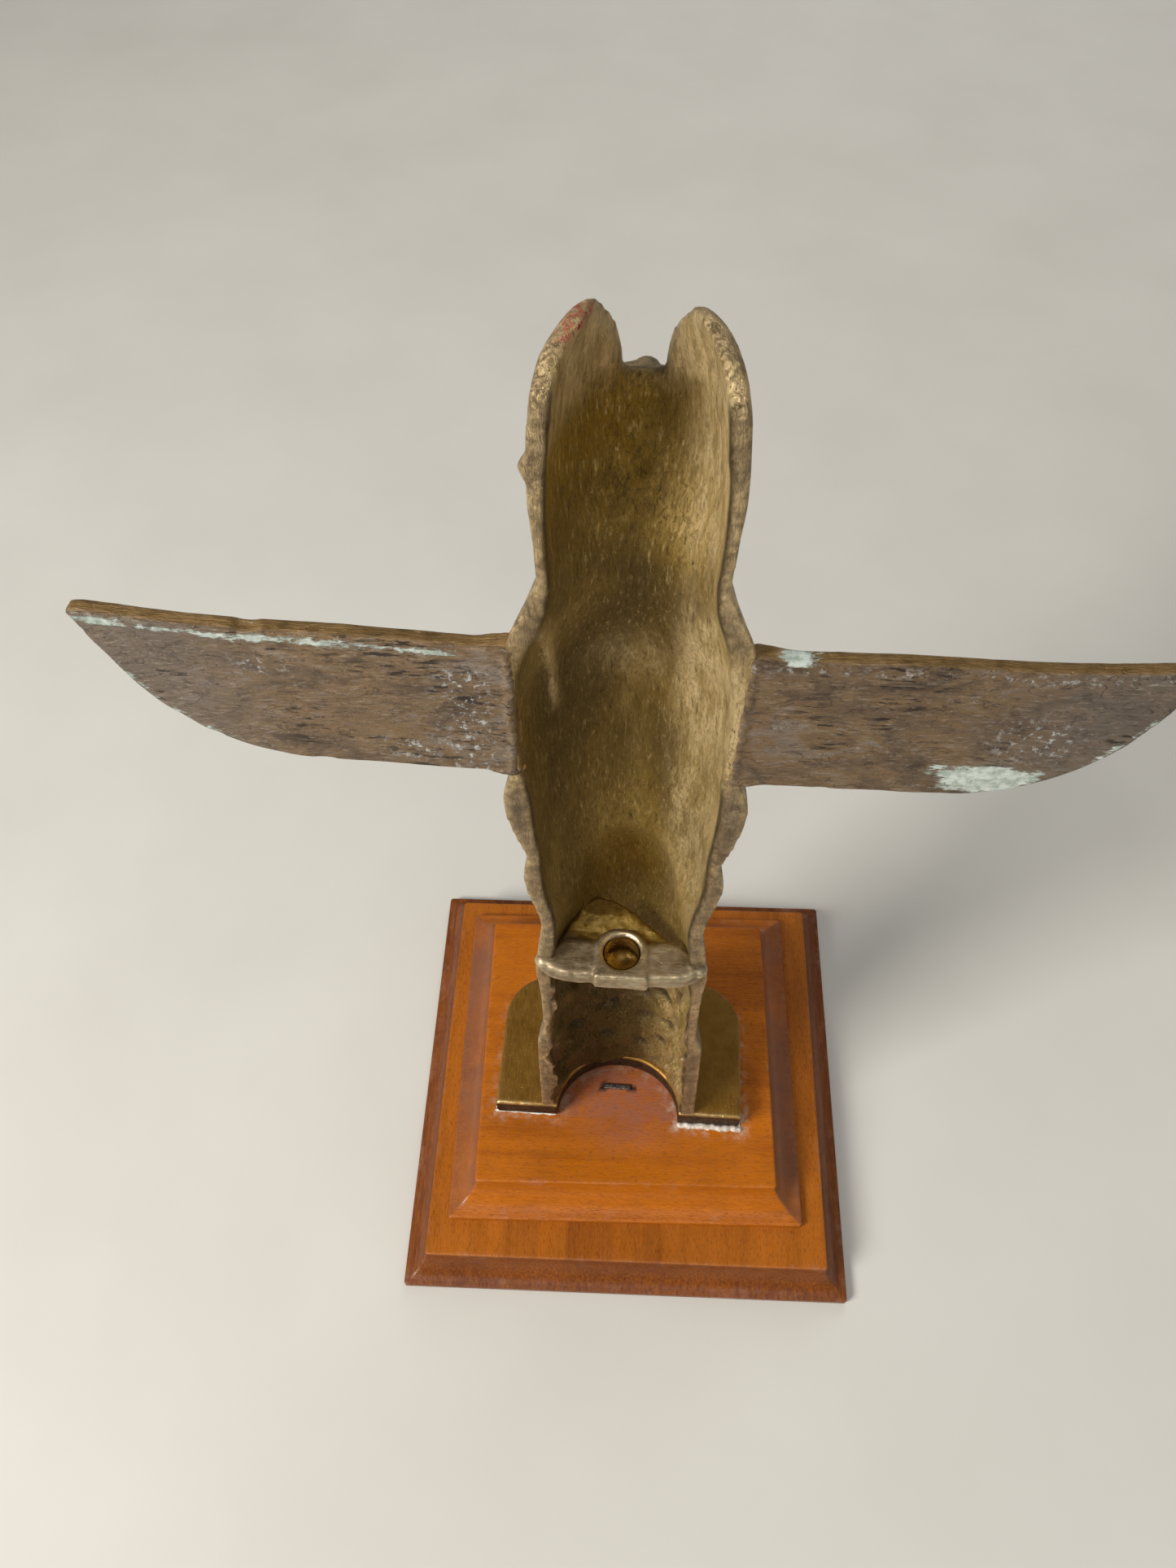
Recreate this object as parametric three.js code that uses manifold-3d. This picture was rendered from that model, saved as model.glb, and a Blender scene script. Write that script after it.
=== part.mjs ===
// Totem-pole car mascot: a hollow-backed brass casting with two brazed wings and a
// tapped fixing lug, glued to a stepped two-board wooden base. Millimetres, +Z up, the
// totem faces -Y. The origin is the centre of the base's underside.
import * as THREE from "three";
import { mergeVertices } from "three/addons/utils/BufferGeometryUtils.js";
import Module from "manifold-3d";

const wasm = await Module();
wasm.setup();

// ---- driving dimensions ----
const SEAT_GAP = 0.05; // clearance between faces that rest on each other
const BRAZE_GAP = 0.3; // clearance between brazed pieces

const PAD = { side: 99.2, thick: 0.5 };
const LOWER_BOARD = { width: 101.6, depth: 101.6, thick: 9, edge: 1.8, inset: 5.1 };
const UPPER_BOARD = { width: 81.3, depth: 79, thick: 9, edge: 1.6, inset: 6.3 };
const UPPER_BOARD_PLACE = { x: 0.9, y: -2.2, turn: 0.8 };
const COVE_STEPS = 8;

const STAPLE = { crown: 6.6, wire: 1.2, thick: 0.6, leg: 4, x: 2.4, y: 8.2 };
const STAPLE_SLOT_GAP = 0.15; // clearance around the legs in the board

const GLUE = { thick: 0.3, squeeze: 1.2 };
const FOOT_PLATE = { halfWidth: 28.2, front: -17, corner: 11, thick: 5.6 };
const FOOT_CUTOUT = { halfWidth: 14, depth: 13 };

const TOTEM_PLACE = { x: 2.1, turn: -1.7 };
const REAR = 16; // the flat rear plane that the casting's rims and the wings share
const LEAN = { from: 160, to: 212, shift: -0.5 }; // the head stands a little off centre
const SECTION_STEPS = 18;

const WING = { root: 15.3, tip: 68.6, thick: 2.8, pivotHeight: 170, turn: 1.4 };

const LUG = { top: 101, plate: 3.2, boss: 5.6, bossHalfWidth: 4.7, rear: 19, halfWidth: 14.9 };
const LUG_HOLE = { radius: 3.25, y: 13.8, floor: 95.9 };
const LUG_WEB = { halfWidth: 9.5, front: 5.5 };

const lowerBoardBase = PAD.thick + SEAT_GAP;
const upperBoardBase = lowerBoardBase + LOWER_BOARD.thick + SEAT_GAP;
const woodTop = upperBoardBase + UPPER_BOARD.thick;
const plateBase = woodTop + GLUE.thick + 2 * SEAT_GAP;
const castingBase = plateBase + FOOT_PLATE.thick + SEAT_GAP;

// Sections of the casting, from the foot up: height, half width and depth of the outside,
// half width and depth of the hollow. Depths are measured forward from the rear plane.
const SECTIONS = [
  [castingBase, 17.6, 21, 14.2, 13],
  [36, 17.4, 23, 14, 13.4],
  [52, 17.1, 24, 13.8, 13.8],
  [63, 16.8, 22, 13.5, 13.8],
  [67, 15.2, 20, 13.3, 13.6],
  [84, 15.1, 19.5, 12.9, 13.2],
  [96, 15.6, 20, 12.5, 13],
  [103, 14.8, 22, 11.8, 15.5],
  [112, 13.7, 23, 11.2, 16.5],
  [117, 14.2, 22, 11.6, 16],
  [122, 15.2, 20, 12.4, 14.8],
  [128, 16, 21, 12.9, 13.8],
  [135, 14.9, 20.5, 12.8, 13.8],
  [140, 16.3, 21.5, 13.1, 14.4],
  [146, 17.5, 22.5, 13.4, 15],
  [151, 17.6, 22.5, 13.5, 15.8],
  [156, 16.2, 22, 13.5, 16.6],
  [157.2, 15, 22.5, 13.7, 16.6],
  [168, 15, 24, 13.9, 15],
  [178, 15, 23, 13.4, 12.2],
  [185, 15, 20.5, 11.6, 10.6],
  [190, 12.8, 17.8, 9.9, 10.6],
  [194.5, 11, 16.5, 9.4, 11.4],
  [200, 11.4, 18, 9.7, 13.2],
  [206, 11.7, 19.5, 9.6, 14.8],
  [211, 11.5, 18, 9.3, 15.2],
  [216, 11.1, 17, 8.8, 14.4],
  [220, 10.6, 16, 8.3, 13.4],
  [222.5, 9.7, 15, 7.4, 12.4],
  [224, 8.4, 14, 6, 11.2],
  [225.5, 6.4, 13, 4, 10],
];

// Rounded forms of the carving: centre and radii. Those off the centre line come in pairs.
const ROUND_FORMS = [
  [[0, -4.2, 206], [9, 4, 3.6]], // brow
  [[6.4, -1, 202], [3.2, 3.4, 3]], // eye
  [[9, -4.5, 148], [6, 5.5, 9]], // thigh
  [[9.5, -4, 129], [4.6, 5.5, 4.6]], // talon
  [[0, -5.5, 136], [5.5, 4, 15]], // tail
  [[0, 2, 108], [15.6, 12, 12]], // lower head
  [[0, -11, 104.5], [6.8, 6, 5]], // muzzle
  [[10.5, -1.5, 120], [3.8, 3.4, 4.4]], // lower ear
  [[8, -4.5, 84], [5.4, 4.5, 6.5]], // paw
  [[10.5, -4, 48], [6.6, 8, 14]], // knee
  [[9, -9, 29], [6.4, 6.6, 7]], // foot
];

// ---- solids ----
function toSolid(geometry) {
  const bare = geometry.clone();
  bare.deleteAttribute("normal");
  bare.deleteAttribute("uv");
  const merged = mergeVertices(bare, 1e-4);
  return new wasm.Manifold(
    new wasm.Mesh({
      numProp: 3,
      vertProperties: merged.attributes.position.array,
      triVerts: new Uint32Array(merged.index.array),
    }),
  );
}

function toGeometry(solid) {
  const mesh = solid.getMesh();
  return new THREE.BufferGeometry()
    .setAttribute("position", new THREE.BufferAttribute(mesh.vertProperties, 3))
    .setIndex(new THREE.BufferAttribute(mesh.triVerts, 1))
    .toNonIndexed();
}

function joined(geometries) {
  return geometries.map(toSolid).reduce((sum, solid) => sum.add(solid));
}

// A closed skin over a stack of rings, each with the same number of points, listed
// anticlockwise as seen from above.
function loft(rings) {
  const count = rings[0].length;
  const points = rings.flat();
  const centre = (ring) =>
    ring.reduce((sum, p) => sum.add(p), new THREE.Vector3()).divideScalar(count);
  const bottom = points.push(centre(rings[0])) - 1;
  const top = points.push(centre(rings.at(-1))) - 1;
  const faces = [];
  for (let i = 0; i < count; i++) {
    const next = (i + 1) % count;
    faces.push(bottom, next, i);
    for (let level = 0; level < rings.length - 1; level++) {
      const low = level * count;
      const high = low + count;
      faces.push(low + i, low + next, high + next, low + i, high + next, high + i);
    }
    const last = (rings.length - 1) * count;
    faces.push(last + i, last + next, top);
  }
  return new THREE.BufferGeometry().setFromPoints(points).setIndex(faces).toNonIndexed();
}

function ellipsoid([x, y, z], [rx, ry, rz]) {
  return new THREE.SphereGeometry(1, 14, 8).scale(rx, ry, rz).translate(x, y, z);
}

function box(low, high) {
  const size = high.map((value, i) => value - low[i]);
  const middle = high.map((value, i) => (value + low[i]) / 2);
  return new THREE.BoxGeometry(...size).translate(...middle);
}

// An outline of [x, z] points run from one y to another.
function uprightSlab(shape, yLow, yHigh) {
  const options = { depth: yHigh - yLow, bevelEnabled: false, curveSegments: 4 };
  return new THREE.ExtrudeGeometry(shape, options).rotateX(Math.PI / 2).translate(0, yHigh, 0);
}

function flatSlab(shape, zLow, zHigh) {
  const options = { depth: zHigh - zLow, bevelEnabled: false, curveSegments: 16 };
  return new THREE.ExtrudeGeometry(shape, options).translate(0, 0, zLow);
}

function polygon(points) {
  return new THREE.Shape(points.map(([x, y]) => new THREE.Vector2(x, y)));
}

// ---- base ----
function rectangleRing({ width, depth }, inset, z) {
  const x = width / 2 - inset;
  const y = depth / 2 - inset;
  return [[-x, -y], [x, -y], [x, y], [-x, y]].map((p) => new THREE.Vector3(...p, z));
}

function padGeometry() {
  const half = PAD.side / 2;
  return box([-half, -half, 0], [half, half, PAD.thick]);
}

function lowerBoardGeometry() {
  const { thick, edge, inset } = LOWER_BOARD;
  const profile = [[0, 0], [0, edge], [inset, thick]];
  return loft(profile.map(([step, z]) => rectangleRing(LOWER_BOARD, step, lowerBoardBase + z)));
}

function upperBoardGeometry() {
  const { thick, edge, inset } = UPPER_BOARD;
  const profile = [[0, 0]];
  for (let i = 0; i <= COVE_STEPS; i++) {
    const angle = (i / COVE_STEPS) * (Math.PI / 2);
    profile.push([inset * Math.sin(angle), thick - (thick - edge) * Math.cos(angle)]);
  }
  return loft(profile.map(([step, z]) => rectangleRing(UPPER_BOARD, step, upperBoardBase + z)));
}

function stapleLegs(grow) {
  const { crown, wire, thick, leg } = STAPLE;
  return [-1, 1].map((side) => {
    const x = side * (crown - thick) / 2;
    const halfX = thick / 2 + grow;
    const halfY = wire / 2 + grow;
    return box([x - halfX, -halfY, woodTop - leg - grow], [x + halfX, halfY, woodTop + thick]);
  });
}

function stapleGeometry() {
  const { crown, wire, thick } = STAPLE;
  const low = [-crown / 2, -wire / 2, woodTop + SEAT_GAP];
  const high = [crown / 2, wire / 2, woodTop + SEAT_GAP + thick];
  return toGeometry(joined([box(low, high), ...stapleLegs(0)]));
}

// ---- foot ----
function footPlateShape() {
  const { halfWidth, front, corner } = FOOT_PLATE;
  const shape = new THREE.Shape();
  shape.moveTo(FOOT_CUTOUT.halfWidth, REAR);
  shape.absellipse(0, REAR, FOOT_CUTOUT.halfWidth, FOOT_CUTOUT.depth, 0, Math.PI, true);
  shape.lineTo(-halfWidth, REAR);
  shape.lineTo(-halfWidth, front + corner);
  shape.absarc(-halfWidth + corner, front + corner, corner, Math.PI, 1.5 * Math.PI);
  shape.absarc(halfWidth - corner, front + corner, corner, 1.5 * Math.PI, 2 * Math.PI);
  shape.lineTo(halfWidth, REAR);
  return shape;
}

function glueShape(side) {
  const outer = FOOT_PLATE.halfWidth;
  const inner = FOOT_CUTOUT.halfWidth;
  const rear = REAR + GLUE.squeeze;
  const edge = new THREE.SplineCurve(
    [
      [inner + 0.5, rear - 0.6],
      [inner + 4, rear],
      [inner + 9, rear - 0.4],
      [outer, rear],
      [outer + 0.6, rear - 5],
      [outer - 0.4, 4],
      [outer - 2, -6],
      [inner + 5, -7],
      [inner + 2, 2],
    ].map(([x, y]) => new THREE.Vector2(side * x, y)),
  );
  return new THREE.Shape(edge.getPoints(36));
}

// ---- casting ----
function leanAt(z) {
  return LEAN.shift * THREE.MathUtils.smoothstep(z, LEAN.from, LEAN.to);
}

function halfEllipseRing(halfWidth, depth, z, rear) {
  const ring = [];
  for (let i = 0; i <= SECTION_STEPS; i++) {
    const angle = (i / SECTION_STEPS) * Math.PI;
    const x = leanAt(z) - halfWidth * Math.cos(angle);
    ring.push(new THREE.Vector3(x, REAR - depth * Math.sin(angle), z));
  }
  ring.push(new THREE.Vector3(leanAt(z) + halfWidth, rear + 0.01, z));
  ring.push(new THREE.Vector3(leanAt(z) - halfWidth, rear + 0.01, z));
  return ring;
}

function outerSkin() {
  return loft(SECTIONS.map(([z, width, depth]) => halfEllipseRing(width, depth, z, REAR)));
}

function hollow() {
  const rows = SECTIONS.map(([z, , , width, depth]) => [z, width, depth]);
  const [, footWidth, footDepth] = rows[0];
  const [topHeight, topWidth, topDepth] = rows.at(-1);
  rows.unshift([castingBase - 2, footWidth, footDepth]);
  rows.push([topHeight + 5, topWidth, topDepth]);
  return loft(rows.map(([z, width, depth]) => halfEllipseRing(width, depth, z, REAR + 6)));
}

// The hooked beak, as a side outline of [y, z] points with rounded flanks.
function beak() {
  const outline = polygon([
    [2, 209], [-8, 209.5], [-14, 206], [-18, 199.5], [-18.5, 192.5], [-14.5, 195], [-8, 196], [2, 194],
  ]);
  return new THREE.ExtrudeGeometry(outline, {
    depth: 3.4,
    bevelSize: 1.4,
    bevelOffset: -1.4,
    bevelThickness: 1.6,
    bevelSegments: 2,
  })
    .rotateX(Math.PI / 2)
    .rotateZ(Math.PI / 2)
    .translate(leanAt(205) - 1.7, 0, 0);
}

// Everything above the ears and the slope of the forehead, as [y, z] points.
function aboveHead() {
  const outline = polygon([
    [30, 217.5], [16, 219.4], [12.5, 222.4], [8.5, 224.4], [5, 223.4], [2, 219.2], [-0.5, 213.4],
    [-4, 210], [-30, 210], [-30, 245], [30, 245],
  ]);
  return new THREE.ExtrudeGeometry(outline, { depth: 40, bevelEnabled: false })
    .rotateX(Math.PI / 2)
    .rotateZ(Math.PI / 2)
    .translate(-20, 0, 0);
}

function earNotch() {
  const middle = leanAt(225);
  const left = [[6, 229], [4, 222], [3, 217.5], [2.4, 214], [2.2, 211]];
  const right = left.map(([x, z]) => [-x, z]).reverse();
  return uprightSlab(polygon([...left, ...right].map(([x, z]) => [x + middle, z])), -30, 30);
}

function castingGeometry() {
  const forms = ROUND_FORMS.flatMap(([[x, y, z], radii]) => {
    const sides = x === 0 ? [0] : [-x, x];
    return sides.map((side) => ellipsoid([side + leanAt(z), y, z], radii));
  });
  const below = box([-60, -60, 0], [60, 60, castingBase]);
  const behind = box([-60, REAR, 0], [60, REAR + 40, 260]);
  const cuts = [hollow(), aboveHead(), earNotch(), below, behind];
  const carved = joined([outerSkin(), beak(), ...forms]);
  return toGeometry(cuts.map(toSolid).reduce((body, cut) => body.subtract(cut), carved));
}

// ---- wings ----
function wingGeometry(side) {
  const shape = new THREE.Shape();
  const { root, tip, thick, pivotHeight, turn } = WING;
  shape.moveTo(root, 157.6);
  shape.lineTo(40, 158.1);
  shape.splineThru(
    [
      [49, 159.3],
      [56.5, 163.3],
      [62.5, 170],
      [66, 178],
      [tip, 185.2],
    ].map((p) => new THREE.Vector2(...p)),
  );
  shape.lineTo(67, 185.4);
  shape.splineThru([[52, 184], [34, 183.8], [root, 183]].map((p) => new THREE.Vector2(...p)));
  const geometry = uprightSlab(shape, REAR - thick, REAR)
    .translate(-root, 0, -pivotHeight)
    .rotateY(THREE.MathUtils.degToRad(-side * turn))
    .translate(root, 0, pivotHeight);
  if (side > 0) return geometry;
  return toGeometry(toSolid(geometry).mirror([1, 0, 0]));
}

// ---- fixing lug ----
function lugGeometry() {
  const { top, plate, boss, bossHalfWidth, rear, halfWidth } = LUG;
  const rim = REAR + BRAZE_GAP;
  const crescent = new THREE.Shape();
  crescent.moveTo(-halfWidth, rim);
  crescent.lineTo(halfWidth, rim);
  crescent.quadraticCurveTo(halfWidth - 4, rear, bossHalfWidth, rear);
  crescent.lineTo(-bossHalfWidth, rear);
  crescent.quadraticCurveTo(4 - halfWidth, rear, -halfWidth, rim);
  const web = new THREE.Shape();
  web.moveTo(-LUG_WEB.halfWidth, rim + 0.5);
  web.lineTo(-LUG_WEB.halfWidth, REAR - 4);
  web.quadraticCurveTo(-LUG_WEB.halfWidth + 1, LUG_WEB.front, 0, LUG_WEB.front);
  web.quadraticCurveTo(LUG_WEB.halfWidth - 1, LUG_WEB.front, LUG_WEB.halfWidth, REAR - 4);
  web.lineTo(LUG_WEB.halfWidth, rim + 0.5);
  const block = [
    [-bossHalfWidth, LUG_HOLE.y - bossHalfWidth, top - boss],
    [bossHalfWidth, rear - 1.4, top],
  ];
  const hole = new THREE.CylinderGeometry(LUG_HOLE.radius, LUG_HOLE.radius, 20, 32)
    .rotateX(Math.PI / 2)
    .translate(0, LUG_HOLE.y, LUG_HOLE.floor + 10);
  const lug = joined([
    flatSlab(crescent, top - plate, top),
    flatSlab(web, top - plate, top),
    box(...block),
  ]);
  return toGeometry(lug.subtract(toSolid(hole)));
}

// ---- assembly ----
function brassMaterial(color, roughness) {
  return new THREE.MeshStandardMaterial({ color, roughness, metalness: 1 });
}

function woodMaterial(color) {
  return new THREE.MeshStandardMaterial({ color, roughness: 0.45, metalness: 0 });
}

function addMesh(group, name, geometry, material) {
  geometry.computeVertexNormals();
  const mesh = new THREE.Mesh(geometry, material);
  mesh.name = name;
  group.add(mesh);
  return mesh;
}

const mascot = new THREE.Group();

const base = new THREE.Group();
const felt = new THREE.MeshStandardMaterial({ color: 0xcfc8b8, roughness: 0.95 });
addMesh(base, "base_pad", padGeometry(), felt);
addMesh(base, "base_board", lowerBoardGeometry(), woodMaterial(0xa8501c));

const topBoard = toSolid(upperBoardGeometry());
const stapleSlots = joined(stapleLegs(STAPLE_SLOT_GAP));
const slotTurn = -UPPER_BOARD_PLACE.turn;
const slotted = topBoard.subtract(
  stapleSlots
    .translate([STAPLE.x - UPPER_BOARD_PLACE.x, STAPLE.y - UPPER_BOARD_PLACE.y, 0])
    .rotate([0, 0, slotTurn]),
);
const board = addMesh(base, "top_board", toGeometry(slotted), woodMaterial(0xb4601f));
board.position.set(UPPER_BOARD_PLACE.x, UPPER_BOARD_PLACE.y, 0);
board.rotation.z = THREE.MathUtils.degToRad(UPPER_BOARD_PLACE.turn);

const steel = new THREE.MeshStandardMaterial({ color: 0x6e6a66, roughness: 0.5, metalness: 1 });
addMesh(base, "board_staple", stapleGeometry(), steel).position.set(STAPLE.x, STAPLE.y, 0);
mascot.add(base);

const totem = new THREE.Group();
totem.position.x = TOTEM_PLACE.x;
totem.rotation.z = THREE.MathUtils.degToRad(TOTEM_PLACE.turn);
const glue = new THREE.MeshStandardMaterial({ color: 0xd8d2c4, roughness: 0.7 });
const SIDES = { left: 1, right: -1 };
for (const [name, side] of Object.entries(SIDES)) {
  const film = flatSlab(glueShape(side), woodTop + SEAT_GAP, woodTop + SEAT_GAP + GLUE.thick);
  addMesh(totem, `glue_bed_${name}`, film, glue);
}
const plate = flatSlab(footPlateShape(), plateBase, plateBase + FOOT_PLATE.thick);
addMesh(totem, "foot_plate", plate, brassMaterial(0x8a6a2c, 0.45));
addMesh(totem, "totem_casting", castingGeometry(), brassMaterial(0x7d6030, 0.5));
for (const [name, side] of Object.entries(SIDES)) {
  addMesh(totem, `wing_${name}`, wingGeometry(side), brassMaterial(0x6b5138, 0.55));
}
addMesh(totem, "mounting_lug", lugGeometry(), brassMaterial(0x94865e, 0.45));
mascot.add(totem);

export default mascot;
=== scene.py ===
"""A hollow-backed brass totem-pole car mascot on a stepped wooden base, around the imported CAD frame.

Sculpted metal pieces are signed distance fields in millimetres, in the totem's own frame: the flat
back lies at y = REAR, the carved front faces -y. They become meshes in metres in the CAD frame.
"""

import functools
import math

import bpy
import numpy as np
import openvdb
from mathutils import Matrix, Vector


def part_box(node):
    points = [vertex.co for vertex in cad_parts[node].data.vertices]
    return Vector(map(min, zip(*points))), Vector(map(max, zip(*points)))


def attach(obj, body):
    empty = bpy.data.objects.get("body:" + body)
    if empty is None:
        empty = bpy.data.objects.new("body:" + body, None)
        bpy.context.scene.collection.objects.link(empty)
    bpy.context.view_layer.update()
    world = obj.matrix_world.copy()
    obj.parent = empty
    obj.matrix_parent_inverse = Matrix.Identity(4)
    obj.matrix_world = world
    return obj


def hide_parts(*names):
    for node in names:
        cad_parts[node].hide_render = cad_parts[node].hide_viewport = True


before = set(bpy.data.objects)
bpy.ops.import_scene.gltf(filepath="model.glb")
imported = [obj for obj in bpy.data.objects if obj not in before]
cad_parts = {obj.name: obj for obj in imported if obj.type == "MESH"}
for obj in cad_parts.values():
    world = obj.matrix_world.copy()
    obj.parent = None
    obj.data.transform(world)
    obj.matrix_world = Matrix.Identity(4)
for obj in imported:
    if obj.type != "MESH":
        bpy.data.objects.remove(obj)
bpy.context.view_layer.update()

MM = 0.001
REAR = 16.0  # y of the totem's flat back


def placed(x, y, turn):
    """A place x and y mm from the middle of the base, turned by so many degrees about z."""
    return Matrix.Translation((x, y, 0)) @ Matrix.Rotation(math.radians(turn), 4, "Z")


TOTEM_PLACE = placed(2.1, 0, -1.7)
TOP_BOARD_PLACE = placed(0.9, -2.2, 0.8)
BASE_PLACE = Matrix.Identity(4)


def box_mm(node):
    """The lowest and highest corner of a CAD node, in mm."""
    low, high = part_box(node)
    return np.array(low) / MM, np.array(high) / MM


WOOD_TOP = box_mm("top_board")[1][2]
PLATE_LOW, PLATE_HIGH = (corner[2] for corner in box_mm("foot_plate"))
CASTING_LOW, CASTING_HIGH = (corner[2] for corner in box_mm("totem_casting"))
LUG_TOP = box_mm("mounting_lug")[1][2]


# ---------------- distance fields
def smoothstep(value, low, high):
    """0 up to low, 1 from high on, with a smooth rise between them."""
    t = np.clip((value - low) / (high - low), 0, 1)
    return t * t * (3 - 2 * t)


def falling(value, low, high):
    """1 up to low, 0 from high on."""
    return 1 - smoothstep(value, low, high)


def between(value, low, full, fading, high):
    """1 from full to fading, and 0 outside low and high."""
    return smoothstep(value, low, full) * falling(value, fading, high)


def hump(*offsets):
    """A bell curve: 1 where every offset is 0, nearly gone where one of them is 2."""
    return np.exp(-sum(offset ** 2 for offset in offsets))


def largest(*arrays):
    return functools.reduce(np.maximum, arrays)


def smooth_min(a, b, blend):
    overlap = np.clip(1 - np.abs(a - b) / blend, 0, None)
    return np.minimum(a, b) - overlap * overlap * blend / 4


def smooth_max(a, b, blend):
    return -smooth_min(-a, -b, blend)


class Form:
    """A signed distance and the box that holds its solid."""

    def __init__(self, distance, low, high):
        self.distance = distance
        self.low = np.array(low, float)
        self.high = np.array(high, float)


def blob(centre, radii):
    """An ellipsoid."""
    centre = np.array(centre, float)
    radii = np.array(radii, float)

    def distance(x, y, z):
        u, v, w = x - centre[0], y - centre[1], z - centre[2]
        near = np.sqrt((u / radii[0]) ** 2 + (v / radii[1]) ** 2 + (w / radii[2]) ** 2)
        slope = np.sqrt((u / radii[0] ** 2) ** 2 + (v / radii[1] ** 2) ** 2 + (w / radii[2] ** 2) ** 2)
        return near * (near - 1) / np.maximum(slope, 1e-4)

    return Form(distance, centre - radii, centre + radii)


def tube(points, squeeze=1.0):
    """A chain of tapered rounds through (x, y, z, radius); squeeze above 1 makes it narrow in x."""
    points = np.array(points, float)
    middle = points[:, 0].mean()

    def distance(x, y, z):
        x = middle + (x - middle) * squeeze
        best = None
        for (ax, ay, az, ar), (bx, by, bz, br) in zip(points, points[1:]):
            ax, bx = middle + (ax - middle) * squeeze, middle + (bx - middle) * squeeze
            length2 = (bx - ax) ** 2 + (by - ay) ** 2 + (bz - az) ** 2
            t = ((x - ax) * (bx - ax) + (y - ay) * (by - ay) + (z - az) * (bz - az)) / length2
            t = np.clip(t, 0, 1)
            gap = np.sqrt((x - ax - t * (bx - ax)) ** 2 + (y - ay - t * (by - ay)) ** 2
                          + (z - az - t * (bz - az)) ** 2) - (ar + t * (br - ar))
            best = gap if best is None else np.minimum(best, gap)
        return best / squeeze

    reach = points[:, 3].max()
    return Form(distance, points[:, :3].min(0) - reach, points[:, :3].max(0) + reach)


def ring(centre, radius, thick, turn):
    """A torus whose axis points along -y, turned by so many degrees about z."""
    centre = np.array(centre, float)
    back = np.array(Matrix.Rotation(math.radians(-turn), 3, "Z"))

    def distance(x, y, z):
        u, v, w = x - centre[0], y - centre[1], z - centre[2]
        a, b, c = (row[0] * u + row[1] * v + row[2] * w for row in back)
        return np.sqrt((np.sqrt(a * a + c * c) - radius) ** 2 + b * b) - thick

    reach = radius + thick
    return Form(distance, centre - reach, centre + reach)


class Field:
    """Signed distances on a regular grid, in millimetres, negative inside the solid."""

    def __init__(self, low, high, step):
        self.low = np.array(low, float)
        self.step = step
        self.axes = [np.arange(a, b, step, dtype=np.float32) for a, b in zip(low, high)]
        self.grid = np.meshgrid(*self.axes, indexing="ij", sparse=True)
        self.value = np.full([len(axis) for axis in self.axes], 99.0, np.float32)

    def window(self, form, margin):
        """The part of the grid near a form, as slices and as coordinates."""
        spans = []
        for axis, low, high in zip(self.axes, form.low - margin, form.high + margin):
            spans.append(slice(int(np.searchsorted(axis, low)), int(np.searchsorted(axis, high))))
        parts = (axis[span] for axis, span in zip(self.axes, spans))
        return tuple(spans), np.meshgrid(*parts, indexing="ij", sparse=True)

    def add(self, form, blend=0.6):
        spans, grid = self.window(form, blend + 2)
        self.value[spans] = smooth_min(self.value[spans], form.distance(*grid), blend)

    def cut(self, form, blend=0.4):
        spans, grid = self.window(form, blend + 2)
        self.value[spans] = smooth_max(self.value[spans], -form.distance(*grid), blend)

    def noise(self, cell, seed, stretch=(1, 1, 1)):
        """Smooth random values about 0, one knot every cell mm along each axis."""
        knots = [int((len(a) * self.step) / (cell * s)) + 3 for a, s in zip(self.axes, stretch)]
        value = np.random.default_rng(seed).standard_normal(knots).astype(np.float32)
        for index, (axis, size) in enumerate(zip(self.axes, stretch)):
            place = (axis - axis[0]) / (cell * size)
            knot = place.astype(int)
            share = smoothstep(place - knot, 0, 1)
            weights = np.zeros((len(axis), knots[index]), np.float32)
            rows = np.arange(len(axis))
            weights[rows, knot] = 1 - share
            weights[rows, knot + 1] = share
            value = np.moveaxis(np.tensordot(weights, value, axes=(1, index)), 0, index)
        return value

    def blurred(self, radius):
        """The field's mean over a cube of the given half side in mm."""
        reach = max(1, round(radius / self.step))
        value = self.value.clip(-4, 4).astype(np.float64)
        for axis in range(3):
            padded = np.moveaxis(value, axis, 0)
            padded = np.concatenate([padded[:1]] * (reach + 1) + [padded] + [padded[-1:]] * reach)
            total = np.cumsum(padded, axis=0)
            width = 2 * reach + 1
            value = np.moveaxis((total[width:] - total[:-width]) / width, 0, axis)
        return value.astype(np.float32)

    def sample(self, array, points):
        """An array on the grid, read at points between its knots."""
        place = (points - self.low) / self.step
        knot = np.clip(place.astype(int), 0, np.array(array.shape) - 2)
        share = place - knot
        total = 0
        for corner in np.ndindex(2, 2, 2):
            weight = np.prod(np.where(corner, share, 1 - share), axis=1)
            total = total + weight * array[tuple((knot + corner).T)]
        return total

    def mesh(self):
        grid = openvdb.FloatGrid()
        grid.copyFromArray(np.ascontiguousarray(self.value, np.float32))
        points, quads = grid.convertToQuads(isovalue=0.0)
        return largest_shell(points * self.step + self.low, quads)


def largest_shell(points, faces):
    """The surface without the few specks that float free of it."""
    shell = np.arange(len(points))
    settled = False
    while not settled:
        lowest = shell[faces].min(axis=1)
        joined = shell.copy()
        for corner in faces.T:
            np.minimum.at(joined, corner, lowest)
        joined = joined[joined]
        settled = np.array_equal(joined, shell)
        shell = joined
    kept = shell == np.bincount(shell).argmax()
    number = np.cumsum(kept) - 1
    return points[kept], number[faces[kept[faces[:, 0]]]]


# ---------------- meshes and pieces
def ring_faces(rings, count):
    """Four-sided faces between rings of count points each."""
    faces = []
    for start in range(0, (rings - 1) * count, count):
        for i in range(count):
            a, b = start + i, start + (i + 1) % count
            faces.append((a, b, b + count, a + count))
    return faces


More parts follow.
